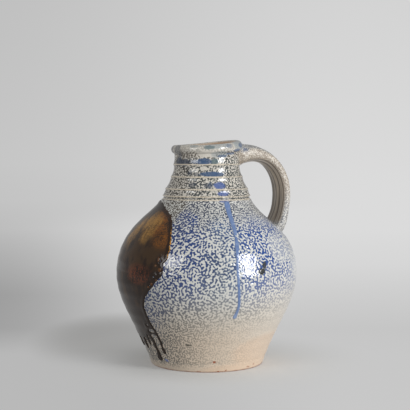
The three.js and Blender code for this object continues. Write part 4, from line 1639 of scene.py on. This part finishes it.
class JUG_OT_set_stage(Operator):
    """Sets the camera, the two softboxes, the room's light and the floor"""

    bl_idname = "jug.set_stage"
    bl_label = "Set the stage"

    def execute(self, context):
        stage = context.scene.jug_stage
        self.place_camera(context, stage)
        self.hang_lamp("key_softbox", stage, KEY_SOFTBOX, stage.key_strength)
        self.hang_lamp("fill_softbox", stage, FILL_SOFTBOX, stage.fill_strength)
        self.light_room(context, stage)
        self.lay_floor(stage)
        context.scene.view_settings.view_transform = "Standard"
        return {"FINISHED"}

    def place_camera(self, context, stage):
        lens = bpy.data.cameras.new("camera")
        lens.lens = stage.lens
        lens.shift_x = stage.camera_shift
        camera = add_object("camera", lens)
        camera.location = facing(0, 0) * stage.camera_distance
        camera.location.z = stage.camera_height
        turned = math.radians(FRONT + 90)
        camera.rotation_euler = (math.pi / 2 - stage.camera_pitch, 0, turned)
        context.scene.camera = camera

    def hang_lamp(self, name, stage, softbox, strength):
        turned, raised, *spread = softbox
        width, height = (
            2 * stage.lamp_distance * math.tan(math.radians(angle) / 2) for angle in spread
        )
        lamp = bpy.data.lights.new(name, "AREA")
        lamp.shape = "RECTANGLE"
        lamp.size = width
        lamp.size_y = height
        lamp.energy = strength * width * height * math.pi
        direction = facing(turned, raised)
        piece = add_object(name, lamp)
        piece.location = direction * stage.lamp_distance + Vector((0, 0, stage.lamp_aim))
        piece.rotation_euler = direction.to_track_quat("Z", "Y").to_euler()
        piece.visible_camera = False

    def light_room(self, context, stage):
        world = bpy.data.worlds.new("room")
        world.use_nodes = True
        context.scene.world = world
        graph = Graph(world.node_tree)
        world.node_tree.nodes.clear()
        seen = graph.add("ShaderNodeLightPath", None, None, "Is Camera Ray")
        x, y, z = graph.split(graph.add("ShaderNodeTexCoord", None, None, "Generated"))
        right = facing(90, 0)
        across = (x * right.x + y * right.y).above(*ROOM_SPAN)
        low, high = [linear(value) for value in BACKDROP[-1][1:]]
        # Painted shading on the room seen beyond the floor: darker on the left and higher up
        shown = (low + across * (high - low)) * (1 - (z + 0.02) * 0.45)
        white = (1, 1, 1, 1)
        room = graph.add("ShaderNodeBackground", None, {0: white, 1: stage.sky_strength})
        backdrop = graph.add("ShaderNodeBackground", None, {0: white, 1: shown})
        surface = graph.add("ShaderNodeMixShader", None, {0: seen, 1: room, 2: backdrop})
        graph.add_output(surface, "ShaderNodeOutputWorld")

    def lay_floor(self, stage):
        ground = bmesh.new()
        bmesh.ops.create_circle(ground, cap_ends=True, segments=FLOOR_SIDES, radius=stage.floor_radius)
        mesh = bpy.data.meshes.new("floor")
        ground.to_mesh(mesh)
        ground.free()
        mesh.materials.append(floor_paint(stage))
        add_object("floor", mesh)


GROUPS = {
    "jug_body": BodySizes,
    "jug_handle": HandleSizes,
    "jug_glazes": GlazeSizes,
    "jug_colours": JugColours,
    "jug_stage": StageSettings,
}
OPERATORS = (
    JUG_OT_throw_body,
    JUG_OT_pull_handle,
    JUG_OT_pour_iron,
    JUG_OT_trail_cobalt,
    JUG_OT_set_stage,
)


class JUG_PT_jug(Panel):
    """Lists the jug's steps and its sizes"""

    bl_idname = "JUG_PT_jug"
    bl_label = "Salt-glazed jug"
    bl_space_type = "VIEW_3D"
    bl_region_type = "UI"
    bl_category = "Jug"

    def draw(self, context):
        for operator in OPERATORS:
            self.layout.operator(operator.bl_idname)
        for group in GROUPS:
            settings = getattr(context.scene, group)
            column = self.layout.box().column()
            for name in settings.__annotations__:
                column.prop(settings, name)


def register():
    for group in GROUPS.values():
        bpy.utils.register_class(group)
    for name, group in GROUPS.items():
        setattr(bpy.types.Scene, name, PointerProperty(type=group))
    for made in (*OPERATORS, JUG_PT_jug):
        bpy.utils.register_class(made)


def unregister():
    for made in (JUG_PT_jug, *reversed(OPERATORS)):
        bpy.utils.unregister_class(made)
    for name, group in GROUPS.items():
        delattr(bpy.types.Scene, name)
        bpy.utils.unregister_class(group)


def main():
    register()
    bpy.ops.jug.throw_body()
    bpy.ops.jug.pull_handle()
    bpy.ops.jug.pour_iron()
    bpy.ops.jug.trail_cobalt()
    bpy.ops.jug.set_stage()


if __name__ == "__main__":
    main()
